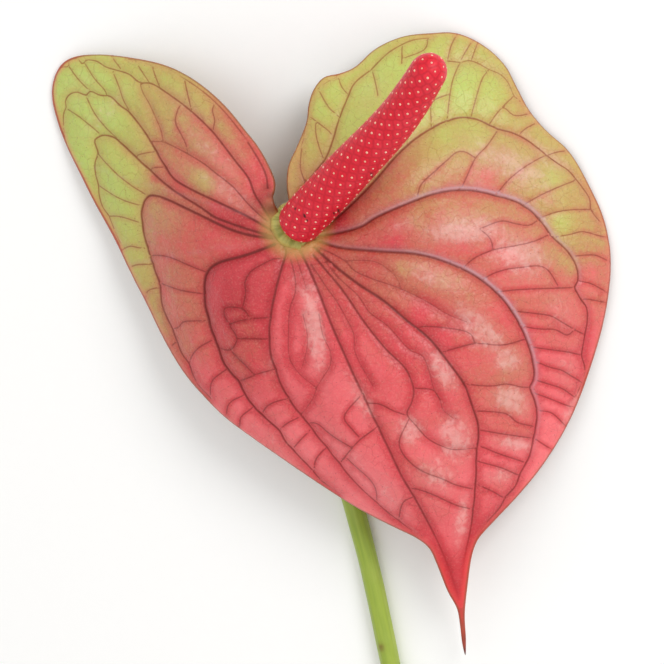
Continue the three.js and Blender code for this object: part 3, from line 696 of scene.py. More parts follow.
def spathe_skin(look):
    """Waxy skin: coral to crimson, green lobes, dark veins with painted shade beside them and a fine net,
    pale bloom partly painted as sheen, a painted highlight along the great veins' lips, a reddened edge,
    painted shade in the notch's fold.
    """
    r = Recipe("spathe_skin")
    place = r.field("blade", vector=True)
    clouds = r.noise(place, 0.11, 4.0, 0.6)
    specks = r.noise(place, 1.1, 4.0)
    # Painted shade along the vein grooves: within 2.4 mm of a vein the tissue turns less green and deeper
    # red.
    vein_shade = r.fade(r.field("vein_near"), 0.0, 2.4, 1.0, 0.0)

    green = r.sum("ADD", r.field("green"), r.sum("MULTIPLY", r.sum("SUBTRACT", clouds, 0.5), 0.34))
    green = r.sum("ADD", green, r.sum("MULTIPLY", r.sum("SUBTRACT", specks, 0.5), 0.16))
    green = r.sum("MULTIPLY", green, r.sum("SUBTRACT", 1.0, r.sum("MULTIPLY", vein_shade, 0.26)), clamp=True)
    depth = r.sum("ADD", r.field("depth"), r.sum("MULTIPLY", r.sum("SUBTRACT", clouds, 0.5), 0.4))
    depth = r.sum("ADD", depth, r.sum("MULTIPLY", vein_shade, 0.34), clamp=True)

    red = r.ramp(depth, [(0.0, tuple(look.coral)), (0.5, tint("mid_red")), (1.0, tuple(look.crimson))])
    leaf = r.ramp(green, [
        (0.3, tuple(look.tan)), (0.52, tint("olive")), (0.78, tint("leaf")), (1.0, tuple(look.green))])
    skin = r.mix(r.fade(green, 0.06, 0.48), red, leaf)
    mottle = r.sum("MULTIPLY", r.sum("SUBTRACT", r.noise(place, 2.2, 5.0), 0.5, clamp=True), 0.5)
    skin = r.mix(mottle, skin, tint("fleck"))

    bend = r.add("ShaderNodeTexNoise", {"Vector": place, "Scale": 0.28, "Detail": 4.0}).outputs[1]
    warped = r.add("ShaderNodeVectorMath", {0: bend, 1: (3.0, 3.0, 0.0), 2: place}, operation="MULTIPLY_ADD")
    net = r.fade(r.cells(warped.outputs[0], 0.42), 0.0, 0.05, 1.0, 0.0)
    fine_net = r.fade(r.cells(warped.outputs[0], 1.05), 0.0, 0.1, 1.0, 0.0)
    vein_colour = r.mix(r.fade(depth, 0.15, 0.6), tint("pale_red_vein"), tuple(look.vein))
    vein_colour = r.mix(r.fade(green, 0.1, 0.6), vein_colour, tuple(look.green_vein))
    vein_colour = r.mix(r.field("flush"), vein_colour, tint("tip_vein"))
    skin = r.mix(r.sum("MULTIPLY", net, r.fade(clouds, 0.3, 0.65, 0.04, 0.26)), skin, vein_colour)
    skin = r.mix(r.sum("MULTIPLY", fine_net, 0.06), skin, vein_colour)
    side = r.sum("MULTIPLY", r.fade(r.field("side_gap"), 0.2, 1.4, 1.0, 0.0), 0.66)
    main = r.sum("MULTIPLY", r.fade(r.field("main_gap"), 0.25, 1.2, 1.0, 0.0), r.field("main_tone"))
    veins = r.sum("MAXIMUM", side, main)

    # Painted sheen, partly waxy bloom: a soft dusty tint over the patches, then ragged pale patches broken by
    # noise and kept off the veins.
    dusty_sheen = r.field("bloom")
    skin = r.mix(r.sum("MULTIPLY", dusty_sheen, 0.2), skin, tint("dusty_sheen"))
    skin = r.mix(r.sum("MULTIPLY", veins, 0.92), skin, vein_colour)
    ragged = r.sum("MULTIPLY", r.sum("SUBTRACT", r.noise(place, 0.6, 10.0, 0.6), 0.5), 1.9)
    bloom = r.fade(r.sum("ADD", r.sum("MULTIPLY", dusty_sheen, 1.1), ragged), 0.4, 1.3)
    bloom = r.sum("MULTIPLY", bloom, r.sum("SUBTRACT", 1.0, r.sum("MULTIPLY", veins, 0.75)))
    skin = r.mix(r.sum("MULTIPLY", bloom, 0.36), skin, tuple(look.bloom))
    # Painted highlight: a pale line along the great veins' outer lips.
    skin = r.mix(r.sum("MULTIPLY", r.field("lip"), 0.75), skin, tint("lip"))
    skin = r.mix(r.sum("MULTIPLY", r.field("flush"), 0.85), skin, tint("tip"))
    glow = r.sum("MULTIPLY", r.fade(r.field("base_gap"), 5.2, 10.0, 1.0, 0.0), 0.85)
    skin = r.mix(glow, skin, tint("throat"))
    dirt = r.sum("MULTIPLY", r.fade(r.cells(place, 0.3, "F1"), 0.02, 0.05, 1.0, 0.0), 0.4)
    skin = r.mix(dirt, skin, tint("dirt"))
    blush = r.field("blush")
    band = r.sum("MULTIPLY", r.fade(r.field("rim_gap"), 0.7, 2.0, 0.4, 0.0), blush)
    skin = r.mix(band, skin, tint("band"))
    extra = r.sum("MULTIPLY", blush, 0.5)
    edge = r.fade(r.field("rim_gap"), r.sum("ADD", extra, 0.15), r.sum("ADD", extra, 0.55), 0.85, 0.0)
    skin = r.mix(edge, skin, r.mix(blush, tuple(look.rim), tuple(look.red_rim)))
    # Darker at the dried tip, and painted shade in the notch's curled fold.
    skin = r.mix(r.field("stain"), skin, tint("dried_tip_and_fold_shade"))
    under = r.mix(0.45, skin, tint("underside"))
    skin = r.mix(r.field("under"), skin, under)

    gloss = r.sum("ADD", r.sum("MULTIPLY", specks, 0.22), r.sum("MULTIPLY", veins, 0.12))
    gloss = r.sum("ADD", gloss, r.sum("MULTIPLY", r.field("under"), 0.15))
    relief = r.sum("ADD", r.sum("MULTIPLY", specks, 0.5), r.sum("MULTIPLY", r.noise(place, 5.0, 2.0), 0.25))
    nets = r.sum("ADD", net, r.sum("MULTIPLY", fine_net, 0.4))
    relief = r.sum("SUBTRACT", relief, r.sum("MULTIPLY", nets, 0.35))
    crinkle = r.bump(r.noise(place, 0.32, 3.0, 0.3), 0.6, 0.0009)
    return r.finish(
        Base_Color=skin, Roughness=r.sum("ADD", gloss, 0.24), Normal=r.bump(relief, 0.55, 0.00018, crinkle),
        Subsurface_Weight=0.12, Subsurface_Radius=(1.0, 0.35, 0.25), Subsurface_Scale=0.0016,
        Coat_Weight=0.1, Coat_Roughness=0.25, IOR=1.4)


def floret_skin(look):
    """Crimson florets with painted shade in the creases between them, and a satin sheen."""
    r = Recipe("floret_skin")
    place = r.field("blade", vector=True)
    fleck = r.noise(place, 1.6, 4.0)
    body = r.mix(r.field("tone"), tuple(look.red), tint("bright_floret"))
    body = r.mix(r.sum("MULTIPLY", r.sum("SUBTRACT", fleck, 0.4, clamp=True), 0.9), body, tint("dark_floret"))
    # Painted shade: darker red towards the creases between the florets.
    skin = r.mix(r.fade(r.field("crease"), 0.5, 1.0, 0.0, 0.7), body, tuple(look.crease))
    skin = r.mix(r.field("stain"), skin, tint("floret_mark"))
    height = r.sum("ADD", r.sum("MULTIPLY", r.noise(place, 7.0, 3.0), 0.6), fleck)
    return r.finish(
        Base_Color=skin, Roughness=r.sum("ADD", r.sum("MULTIPLY", fleck, 0.25), 0.28),
        Normal=r.bump(height, 0.5, 0.00012), Subsurface_Weight=0.12, Subsurface_Radius=(1.0, 0.25, 0.2),
        Subsurface_Scale=0.0012, IOR=1.4)


def stigma_skin(look):
    """Moist cream tissue, a little darker here and there."""
    r = Recipe("stigma_skin")
    place = r.add("ShaderNodeTexCoord").outputs["Object"]
    skin = r.mix(r.fade(r.noise(place, 900.0, 2.0), 0.4, 0.7), tuple(look.cream), tint("dark_stigma"))
    return r.finish(Base_Color=skin, Roughness=0.35, Subsurface_Weight=0.2, Subsurface_Scale=0.0004)


def stem_skin(look):
    """Smooth green skin with fine lengthwise streaks, one brown blemish and a pale, fibrous cut."""
    r = Recipe("stem_skin")
    streaks = r.noise(r.field("grain", vector=True), 1.4, 5.0)
    clouds = r.noise(r.field("blade", vector=True), 0.08, 3.0)
    skin = r.mix(r.fade(streaks, 0.3, 0.75), tuple(look.green), tuple(look.shade))
    skin = r.mix(r.sum("MULTIPLY", r.fade(clouds, 0.45, 0.7), 0.35), skin, tint("pale_stem"))
    skin = r.mix(r.field("stain"), skin, tint("stem_blemish"))
    fibres = r.fade(r.cells(r.field("section", vector=True), 1.7, "F1"), 0.12, 0.3, 1.0, 0.0)
    pith = r.mix(r.sum("MULTIPLY", fibres, 0.7), tuple(look.pith), tint("fibre"))
    skin = r.mix(r.field("cut"), skin, pith)
    height = r.sum("ADD", streaks, r.sum("MULTIPLY", fibres, r.field("cut")))
    return r.finish(
        Base_Color=skin, Roughness=r.sum("ADD", r.sum("MULTIPLY", streaks, 0.2), 0.32),
        Normal=r.bump(height, 0.5, 0.00015), Subsurface_Weight=0.1, Subsurface_Radius=(0.6, 0.8, 0.2),
        Subsurface_Scale=0.0012, Coat_Weight=0.1, Coat_Roughness=0.3)


def collar_skin(look):
    """Yellow-green tissue that reddens outwards, in faint spokes."""
    r = Recipe("collar_skin")
    place = r.field("blade", vector=True)
    spokes = r.noise(r.field("spokes", vector=True), 1.2, 3.0)
    skin = r.mix(r.fade(spokes, 0.35, 0.7), tuple(look.collar), tint("collar_spoke"))
    skin = r.mix(r.sum("MULTIPLY", r.fade(r.field("outer"), 0.86, 1.0), 0.6), skin, tint("throat"))
    height = r.sum("ADD", spokes, r.noise(place, 3.0, 3.0))
    return r.finish(
        Base_Color=skin, Roughness=r.sum("ADD", r.sum("MULTIPLY", spokes, 0.2), 0.3),
        Normal=r.bump(height, 0.5, 0.0002), Subsurface_Weight=0.15, Subsurface_Radius=(0.8, 0.7, 0.2),
        Subsurface_Scale=0.0012)


def floor_paper(look):
    """The plain pale surface, with the faintest tooth."""
    r = Recipe("floor_paper")
    place = r.add("ShaderNodeTexCoord").outputs["Object"]
    tooth = r.noise(place, 300.0, 3.0)
    paper = r.mix(r.sum("MULTIPLY", tooth, 0.03), tuple(look.floor), (0.6, 0.6, 0.6, 1))
    return r.finish(Base_Color=paper, Roughness=0.85, Normal=r.bump(tooth, 0.1, 0.0001))


# ---- the pieces ----------------------------------------------------------------------------------

def vein_samples(veins):
    """Points along veins, with each one's direction, half width and darkness."""
    lines = [(curve(points, VEIN_STEP), start, end, tone) for start, end, tone, points in veins]
    places = np.vstack([line for line, *_ in lines])
    widths = np.concatenate([np.linspace(start, end, len(line)) for line, start, end, _ in lines])
    tones = np.concatenate([np.linspace(tone, 0.72 * tone, len(line)) for line, _, _, tone in lines])
    return places, widths, tones


def rails(veins, spacing, offsets):
    """Mesh points beside each vein, at offsets to both sides of its middle."""
    found = []
    for points in veins:
        line = curve(points, spacing)
        ahead = directions(line)
        side = np.column_stack([-ahead[:, 1], ahead[:, 0]])
        found += [line + offset * side for offset in offsets]
    return np.vstack(found)


def joined(lines, trunks, reach=6.0):
    """The lines, with every loose end drawn on to the nearest vein or margin that lies ahead of it."""
    grown = []
    for index, points in enumerate(lines):
        others = np.vstack([trunks, *[curve(line, RIM_STEP) for k, line in enumerate(lines) if k != index]])
        line = [np.array(p, float) for p in points]
        for _ in range(2):
            line.reverse()
            away = others - line[-1]
            gap = np.linalg.norm(away, axis=1)
            ahead = line[-1] - line[-2]
            facing = away @ ahead / np.maximum(gap * np.linalg.norm(ahead), 1e-6)
            cost = np.where((gap < reach) & (facing > 0.45), gap * (1.7 - facing), np.inf)
            if gap.min() > 0.4 and cost.min() < np.inf:
                line.append(others[cost.argmin()])
        grown.append(line)
    return grown


def blade_outline():
    """The closed edge: the margin, then the small arc where the blade tucks under the collar."""
    start, end, radius = NOTCH_ARC
    turn = np.radians(np.linspace(start, end, 52))
    arc = COLLAR_CENTRE[:2] + radius * np.column_stack([np.cos(turn), np.sin(turn)])
    rim = curve(MARGIN, RIM_STEP)
    return np.vstack([rim, arc]), rim


def blade_mesh(mesh_size, side_veins):
    """Flat triangles that follow the margin and every vein: places, faces and which lie on the edge."""
    outline, rim = blade_outline()
    ahead = directions(rim)
    inward = np.column_stack([-ahead[:, 1], ahead[:, 0]])
    dense_rim = curve(MARGIN, DENSE_RIM_STEP)

    def within(places, gap):
        places = places[inside(places, outline)]
        return places[nearest(dense_rim, places)[1] >= gap]

    rows = [within(rim + inward * offset, offset * 0.93) for offset in RIM_ROWS]
    main_lines = [points for *_, points in MAIN_VEINS]
    along_veins = np.vstack([
        rails(main_lines, 0.7, (0,)), rails(side_veins, 0.8, (0,)), rails(main_lines, 0.7, (-0.5, 0.5)),
        rails(side_veins, 0.8, (-0.36, 0.36)), rails(main_lines, 0.85, (-1.0, 1.0))])
    detail = thinned(within(along_veins, 1.35), 0.3)
    low, high = outline.min(0), outline.max(0)
    across = np.arange(low[0], high[0], mesh_size)
    up = np.arange(low[1], high[1], mesh_size * math.sqrt(3) / 2)
    grid = np.array([(x + (j % 2) * mesh_size / 2, y) for j, y in enumerate(up) for x in across])
    wobble = np.random.default_rng(7).uniform(-0.12, 0.12, grid.shape) * mesh_size
    fill = thinned(within(grid + wobble, 1.6), 0.62 * mesh_size, taken=detail)
    places = np.vstack([outline, *rows, detail, fill])
    count = len(outline)
    loop = [(i, (i + 1) % count) for i in range(count)]
    flat, _, faces, origins, _, _ = delaunay_2d_cdt([Vector(p) for p in places], loop, [], 1, 1e-5, True)
    on_edge = np.array([any(k < count for k in ids) for ids in origins])
    flat = np.array([tuple(p) for p in flat])
    faces = np.array([f for f in faces if len(f) == 3])
    faces = faces[inside(flat[faces].mean(axis=1), outline)]
    a, b, c = (flat[faces[:, i]] for i in range(3))
    area = (b[:, 0] - a[:, 0]) * (c[:, 1] - a[:, 1]) - (b[:, 1] - a[:, 1]) * (c[:, 0] - a[:, 0])
    faces[area < 0] = faces[area < 0][:, ::-1]
    return flat, faces[np.abs(area) > 1e-7], on_edge, dense_rim


def blade_fields(flat, links, rim, side_veins):
    """Distances to veins, margin and collar, and the tints, at every place of the blade."""
    main_at, widths, tones = vein_samples(MAIN_VEINS)
    side_at, side_widths, _ = vein_samples([(SIDE_WIDTH, SIDE_WIDTH, 1, points) for points in side_veins])
    main, main_gap = nearest(main_at, flat)
    side_gap = nearest(side_at, flat)[1]
    ease = np.ones(len(links))
    on_vein = main_gap < 0.3
    ease[on_vein[links].any(1) & (tones[main][links].max(1) > 0.7)] = 0.03
    # A band just outside the two great veins, raised a little and painted with a pale highlight.
    lip = np.zeros(len(flat))
    for loop in (INNER_LOOP, OUTER_LOOP):
        line = curve(loop, VEIN_STEP)
        at, _ = nearest(line, flat)
        ahead = directions(line)[at]
        offset = ((flat - line[at]) * np.column_stack([-ahead[:, 1], ahead[:, 0]])).sum(1)
        share = at / len(line)
        lip = np.maximum(lip, np.exp(-((offset - 0.62) / 0.3) ** 2) * np.exp(-((share - 0.4) / 0.28) ** 2))
    # Where the pale patches go, partly waxy bloom and partly painted sheen.
    bloom = np.zeros(len(flat))
    for u, v, length, width, angle, strength in BLOOM_AND_SHEEN_PATCHES:
        turn = math.radians(angle)
        away = flat - (u, v)
        along = (away @ (math.cos(turn), math.sin(turn))) / length
        across = (away @ (-math.sin(turn), math.cos(turn))) / width
        bloom = np.maximum(bloom, strength * np.exp(-0.7 * (along ** 2 + across ** 2) ** 1.5))
    spots = np.array(BLUSH_SPOTS)
    weight = (np.linalg.norm(flat[:, None] - spots[None, :, :2], axis=2) + 1) ** -2
    blush = (weight * spots[:, 2]).sum(1) / weight.sum(1)
    rim_gap = nearest(rim, flat)[1]
    down = np.clip((-66 - flat[:, 1]) / 12, 0, 1) * np.clip((flat[:, 1] + 99) / 5, 0.2, 1)
    flush = down * (0.35 + 0.65 * np.exp(-((rim_gap - 0.9) / 0.8) ** 2))
    # Dark places: painted shade in the notch's fold, and the dried tip.
    stain = np.zeros(len(flat))
    for u, v, radius, strength in STAINS_AND_FOLD_SHADE:
        stain = np.maximum(stain, strength * np.exp(-(((flat - (u, v)) ** 2).sum(1) / radius ** 2)))
    return {
        "main_gap": main_gap / widths[main], "main_tone": tones[main], "side_gap": side_gap / SIDE_WIDTH,
        "vein_near": np.minimum(main_gap, side_gap * 1.8), "rim_gap": rim_gap,
        "base_gap": np.linalg.norm(flat - COLLAR_CENTRE[:2], axis=1),
        "green": from_spots(GREEN_SPOTS, flat, links, ease),
        "depth": from_spots(DEPTH_SPOTS, flat, links, ease),
        "bloom": bloom, "stain": stain, "lip": lip, "blush": blush, "flush": flush,
        "main_mm": main_gap, "side_mm": side_gap, "main_width": widths[main],
    }


def make_spathe(look):
    trunks = np.vstack([curve(MARGIN, RIM_STEP), *[curve(points, RIM_STEP) for *_, points in MAIN_VEINS]])
    side_veins = joined(SIDE_VEINS, trunks)
    flat, faces, on_edge, rim = blade_mesh(look.mesh_size / MM, side_veins)
    links = links_of(faces)
    f = blade_fields(flat, links, rim, side_veins)
    count = len(flat)

    rim_fade = 1 - np.exp(-f["rim_gap"] / 4)
    swell = look.swell / MM * (1 - np.exp(-f["main_mm"] / 4.5)) * rim_fade
    swell += 0.42 * (1 - np.exp(-f["side_mm"] / 1.5)) * rim_fade
    swell = spread(swell, links, np.ones(len(links)), 5, held=f["main_mm"] < 0.25)
    strength = f["main_tone"] * np.minimum(f["main_width"] / 0.45, 1)
    valley = look.groove / MM * strength * np.exp(-(f["main_mm"] / 0.62) ** 2)
    valley = np.maximum(valley, 0.13 * np.exp(-(f["side_mm"] / 0.34) ** 2))
    ribs = look.rib / MM * strength * np.exp(-(f["main_mm"] / 0.7) ** 2)
    ribs = np.maximum(ribs, 0.16 * np.exp(-(f["side_mm"] / 0.45) ** 2))
    wave = 0.5 * np.sin(flat[:, 0] * 0.23 + 1) * np.sin(flat[:, 1] * 0.19) * (1 - rim_fade)
    roll = 0.45 * np.exp(-(f["rim_gap"] / 1.1) ** 2)
    curl = 2.6 * np.exp(-((flat - NOTCH_CURL) ** 2).sum(1) / 2.6 ** 2)

    middle = np.column_stack([flat, thin_plate(RELIEF_SPOTS)(flat) + wave - roll + curl])
    normals = face_normals_at(middle, faces)
    round_edge = np.sqrt(1 - (1 - np.clip(f["rim_gap"] / 0.5, 0, 1)) ** 2)
    half = look.thickness / MM / 2 * round_edge
    inner = np.minimum(f["rim_gap"], 1)
    upper = middle + normals * (half + swell + 0.22 * f["lip"] - valley * inner)[:, None]
    lower = middle + normals * (0.8 * swell - half - ribs * inner)[:, None]
    for side in (upper, lower):
        side[on_edge] = middle[on_edge]

    spare = np.flatnonzero(~on_edge)
    twin = np.arange(count)
    twin[spare] = count + np.arange(len(spare))
    points = np.vstack([upper, lower[spare]])
    every_face = np.vstack([faces, twin[faces][:, ::-1]]).tolist()
    shown = [name for name in f if name not in ("main_mm", "side_mm", "main_width")]
    fields = {name: np.concatenate([f[name], f[name][spare]]) for name in shown}
    fields["under"] = np.concatenate([np.zeros(count), np.ones(len(spare))])
    fields["blade"] = points
    piece = new_piece("spathe_blade", points, every_face, spathe_skin(look), fields)
    settle(piece)
    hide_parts("spathe")
    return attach(piece, "root")


def settle(piece, lowest=0.00005):
    """Flattens what would sink into the surface onto it."""
    count = len(piece.data.vertices)
    places = np.empty(count * 3, np.float32)
    piece.data.vertices.foreach_get("co", places)
    places[2::3] = np.maximum(places[2::3], lowest)
    piece.data.vertices.foreach_set("co", places)
    piece.data.update()


def spadix_line(steps):
    """Centres and radii along the spadix, with a round foot and a round tip."""
    line = curve(SPADIX_AXIS, 0.05)
    share = np.linspace(0, 1, steps)
    share = 0.55 * share + 0.45 * (0.5 - 0.5 * np.cos(math.pi * share))
    at = share * (len(line) - 1)
    centres = np.column_stack([np.interp(at, np.arange(len(line)), column) for column in line.T])
    radii = np.interp(share, *zip(*SPADIX_GIRTH))

    def round_end(x):
        return np.sqrt(1 - (1 - np.clip(x, 0.004, 1)) ** 2)

    return centres, radii * round_end(share / 0.05) * round_end((1 - share) / 0.07)


def floret_places(count):
    """Florets in one golden-angle spiral, each with an equal share of the surface."""
    centres, radii = spadix_line(400)
    steps = np.linalg.norm(np.diff(centres, axis=0), axis=1)
    slant = np.hypot(steps, np.diff(radii))
    area = np.concatenate([[0], np.cumsum(slant * (radii[1:] + radii[:-1]) / 2)])
    at = np.interp((np.arange(count) + 0.5) / count * area[-1], area, np.arange(len(area)))
    index = np.arange(len(centres))
    middle = np.column_stack([np.interp(at, index, column) for column in centres.T])
    radius = np.interp(at, index, radii)
    along = np.column_stack([np.interp(at, index, column) for column in directions(centres).T])
    lengths = np.concatenate([[0], np.cumsum(steps)])
    slope = np.interp(at, index, np.gradient(radii, lengths))
    across = np.cross(along, ASIDE)
    across /= np.linalg.norm(across, axis=1)[:, None]
    turn = np.arange(count) * GOLDEN_ANGLE
    out = np.cos(turn)[:, None] * across + np.sin(turn)[:, None] * np.cross(along, across)
    facing = out - np.clip(slope, -6, 6)[:, None] * along
    return middle + radius[:, None] * out, facing / np.linalg.norm(facing, axis=1)[:, None]


def make_spadix_body(look):
    centres, radii = spadix_line(SPADIX_RINGS)
    points, faces, _, _ = swept(centres, radii, SPADIX_SIDES, directions(centres))
    heads, facing = floret_places(look.florets)
    tree = KDTree(len(heads))
    for i, head in enumerate(heads):
        tree.insert(head, i)
    tree.balance()
    found = [tree.find_n(p, 2) for p in points]
    first = np.array([pair[0][2] for pair in found])
    second = np.array([pair[1][2] for pair in found])
    owner = np.array([pair[0][1] for pair in found])
    plump = np.clip((second - first) / 1.7, 0, 1)
    dome = np.sqrt(1 - (1 - plump) ** 2)
    dimple = 0.1 * np.exp(-(first / 0.42) ** 2)
    points = points + facing[owner] * (look.floret_height / MM * (dome - 1) - dimple)[:, None]
    tones = np.random.default_rng(3).uniform(0, 0.8, len(heads))
    stain = np.zeros(len(points))
    for u, v, radius in SPADIX_MARKS:
        gap = np.hypot(1.4 * (points[:, 0] - u), points[:, 1] - v)
        ragged = 1 + 0.35 * np.sin(points[:, 0] * 9 + points[:, 1] * 5)
        mark = np.exp(-(gap / radius / ragged) ** 4)
        stain = np.maximum(stain, np.where(points[:, 2] > MARKED_HEIGHT, mark, 0))
    # How far into the crease between florets a point lies, where shade is painted.
    fields = {"crease": 1 - plump, "tone": tones[owner], "stain": stain, "blade": points}
    piece = new_piece("spadix_body", points, faces, floret_skin(look), fields)
    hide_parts("spadix")
    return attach(piece, "root")


def stigma_tree(material):
    """Puts a small dome on every point, facing the way that its attribute says."""
    tree = bpy.data.node_groups.new("stigmas", "GeometryNodeTree")
    face = tree.interface
    face.new_socket("Geometry", in_out="INPUT", socket_type="NodeSocketGeometry")
    radius = face.new_socket("Radius", in_out="INPUT", socket_type="NodeSocketFloat")
    flatness = face.new_socket("Flatness", in_out="INPUT", socket_type="NodeSocketFloat")
    seed = face.new_socket("Seed", in_out="INPUT", socket_type="NodeSocketInt")
    face.new_socket("Geometry", in_out="OUTPUT", socket_type="NodeSocketGeometry")

    def add(kind, inputs=None, **settings):
        node = tree.nodes.new(kind)
        for key, value in settings.items():
            setattr(node, key, value)
        for key, value in (inputs or {}).items():
            if isinstance(value, bpy.types.NodeSocket):
                tree.links.new(value, node.inputs[key])
            else:
                node.inputs[key].default_value = value
        return node

    given = add("NodeGroupInput").outputs
    ball = add("GeometryNodeMeshIcoSphere", {"Radius": given["Radius"], "Subdivisions": 2})
    squash = add("ShaderNodeCombineXYZ", {"X": 1.0, "Y": 1.0, "Z": given["Flatness"]})
    dome = add("GeometryNodeTransform", {"Geometry": ball.outputs["Mesh"], "Scale": squash.outputs[0]})
    facing = add("GeometryNodeInputNamedAttribute", {"Name": "facing"}, data_type="FLOAT_VECTOR")
    turned = add("FunctionNodeAlignRotationToVector", {"Vector": facing.outputs["Attribute"]}, axis="Z")
    size = add("FunctionNodeRandomValue", {2: 0.78, 3: 1.12, "Seed": given["Seed"]}, data_type="FLOAT")
    placed = add("GeometryNodeInstanceOnPoints", {
        "Points": given["Geometry"], "Instance": dome.outputs["Geometry"],
        "Rotation": turned.outputs["Rotation"], "Scale": size.outputs[1]})
    real = add("GeometryNodeRealizeInstances", {"Geometry": placed.outputs["Instances"]})
    smooth = add("GeometryNodeSetShadeSmooth", {"Geometry": real.outputs["Geometry"]})
    skinned = add("GeometryNodeSetMaterial", {"Geometry": smooth.outputs["Geometry"], "Material": material})
    add("NodeGroupOutput", {"Geometry": skinned.outputs["Geometry"]})
    return tree, {"radius": radius.identifier, "flatness": flatness.identifier, "seed": seed.identifier}


def make_stigmas(look):
    heads, facing = floret_places(look.florets)
    material = stigma_skin(look)
    fields = {"facing": facing @ TURN.T}
    piece = new_piece("spadix_stigmas", heads - 0.12 * facing, [], material, fields)
    tree, inputs = stigma_tree(material)
    modifier = piece.modifiers.new("stigmas", "NODES")
    modifier.node_group = tree
    modifier[inputs["radius"]] = look.stigma
    modifier[inputs["flatness"]] = 0.75
    modifier[inputs["seed"]] = 5
    graph = bpy.context.evaluated_depsgraph_get()
    made = bpy.data.meshes.new_from_object(piece.evaluated_get(graph), depsgraph=graph)
    piece.modifiers.clear()
    piece.data = made
    if len(made.polygons) < look.florets:
        raise RuntimeError("the stigmas came out empty")
    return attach(piece, "root")


def make_collar(look):
    """A low ring that spreads from the spadix's foot onto the blade, on the stem's top."""
    profile = curve([
        (3.3, -3.2), (3.7, -2.4), (4.6, -1.9), (5.5, -1.5), (6, -0.9), (6, -0.3), (5.75, 0.2), (5.3, 0.6),
        (4.6, 0.95), (3.4, 1.1)], 0.16)
    centres = COLLAR_CENTRE + profile[:, 1:] * COLLAR_AXIS
    along = np.tile(COLLAR_AXIS, (len(centres), 1))
    points, faces, turns, _ = swept(centres, profile[:, 0], COLLAR_SIDES, along)
    outward = points - COLLAR_CENTRE
    outward -= (outward @ COLLAR_AXIS)[:, None] * COLLAR_AXIS
    lobes = 0.02 * np.sin(3 * turns + 1) + 0.014 * np.sin(7 * turns) + 0.008 * np.sin(17 * turns)
    points = points + outward * lobes[:, None]
    radius = np.concatenate([np.repeat(profile[:, 0], COLLAR_SIDES), [0, 0]])
    spokes = np.column_stack([4 * np.cos(turns), 4 * np.sin(turns), 0.15 * radius])
    fields = {"outer": radius / profile[:, 0].max(), "spokes": spokes, "blade": points}
    piece = new_piece("collar_ring", points, faces, collar_skin(look), fields)
    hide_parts("collar")
    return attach(piece, "root")


def make_stem(look):
    """From the collar's underside down to the surface, and along it to a plain cut."""
    radius, end_radius, flare = look.radius / MM, look.end_radius / MM, look.flare / MM

    def lying(u, v, lift=0.0):
        height = START[2] / MM - radius + 0.25
        return (u, v, -(height + UP[0] * u + UP[1] * v) / UP[2] + lift)

    under = [COLLAR_CENTRE - COLLAR_AXIS * depth for depth in (1.2, 5.2)]
    line = curve([
        *under, (0.2, -2.4, -11.4), (1.4, -11.6, -18.6), lying(4.8, -27, 1), lying(9.4, -45),
        lying(15.1, -64.4), lying(19.3, -80.6), lying(24, -102.8), lying(29, -127),
        lying(33, -149.7)], STEM_STEP)
    share = np.linspace(0, 1, len(line))
    radii = radius + (end_radius - radius) * share + (flare - radius) * np.exp(-share / 0.035)
    radii *= 1 + 0.012 * np.sin(share * 31) + 0.008 * np.sin(share * 73 + 2)
    ahead = directions(line)[-1]
    cut = [(0.12, 0.985), (0.2, 0.95), (0.16, 0.8), (0.12, 0.55), (0.1, 0.25)]
    centres = np.vstack([line, *[line[-1] + ahead * depth for depth, _ in cut]])
    radii = np.concatenate([radii, [radii[-1] * part for _, part in cut]])
    along = np.vstack([directions(line), np.tile(ahead, (len(cut), 1))])
    points, faces, turns, ring = swept(centres, radii, STEM_SIDES, along)
    length = ring * STEM_STEP
    grain = np.column_stack([2.3 * np.cos(turns), 2.3 * np.sin(turns), length * 0.05])
    middle = np.vstack([np.repeat(centres, STEM_SIDES, axis=0), centres[0], centres[-1]])
    out = points - middle
    is_cut = (ring >= len(line)).astype(float)
    is_cut[-1] = 1
    ridges = 0.012 * np.sin(turns * 9 + length * 0.02) * (1 - is_cut)
    points = points + out * ridges[:, None]
    blemish = np.linalg.norm(points - (np.array(lying(21.7, -98.7)) + (0, 0, 2.3)), axis=1)
    stain = 0.85 * np.exp(-(blemish / 0.9) ** 2)
    stain = np.maximum(stain, 0.5 * np.exp(-np.abs(ring - len(line)) / 1.1) * (1 - is_cut))
    turn = np.cross(ahead, UP)
    section = np.column_stack([out @ turn, out @ np.cross(turn, ahead), np.zeros(len(out))])
    fields = {"grain": grain, "blade": points, "stain": stain, "cut": is_cut, "section": section}
    piece = new_piece("stem_stalk", points, faces, stem_skin(look), fields)
    settle(piece)
    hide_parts("stem")
    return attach(piece, "root")


def area_light(name, place, aim, size, power):
    data = bpy.data.lights.new(name, "AREA")
    data.shape = "DISK"
    data.size = size
    data.energy = power
    lamp = bpy.data.objects.new(name, data)
    bpy.context.scene.collection.objects.link(lamp)
    lamp.location = place
    lamp.rotation_euler = (Vector(aim) - Vector(place)).to_track_quat("-Z", "Y").to_euler()
    return lamp


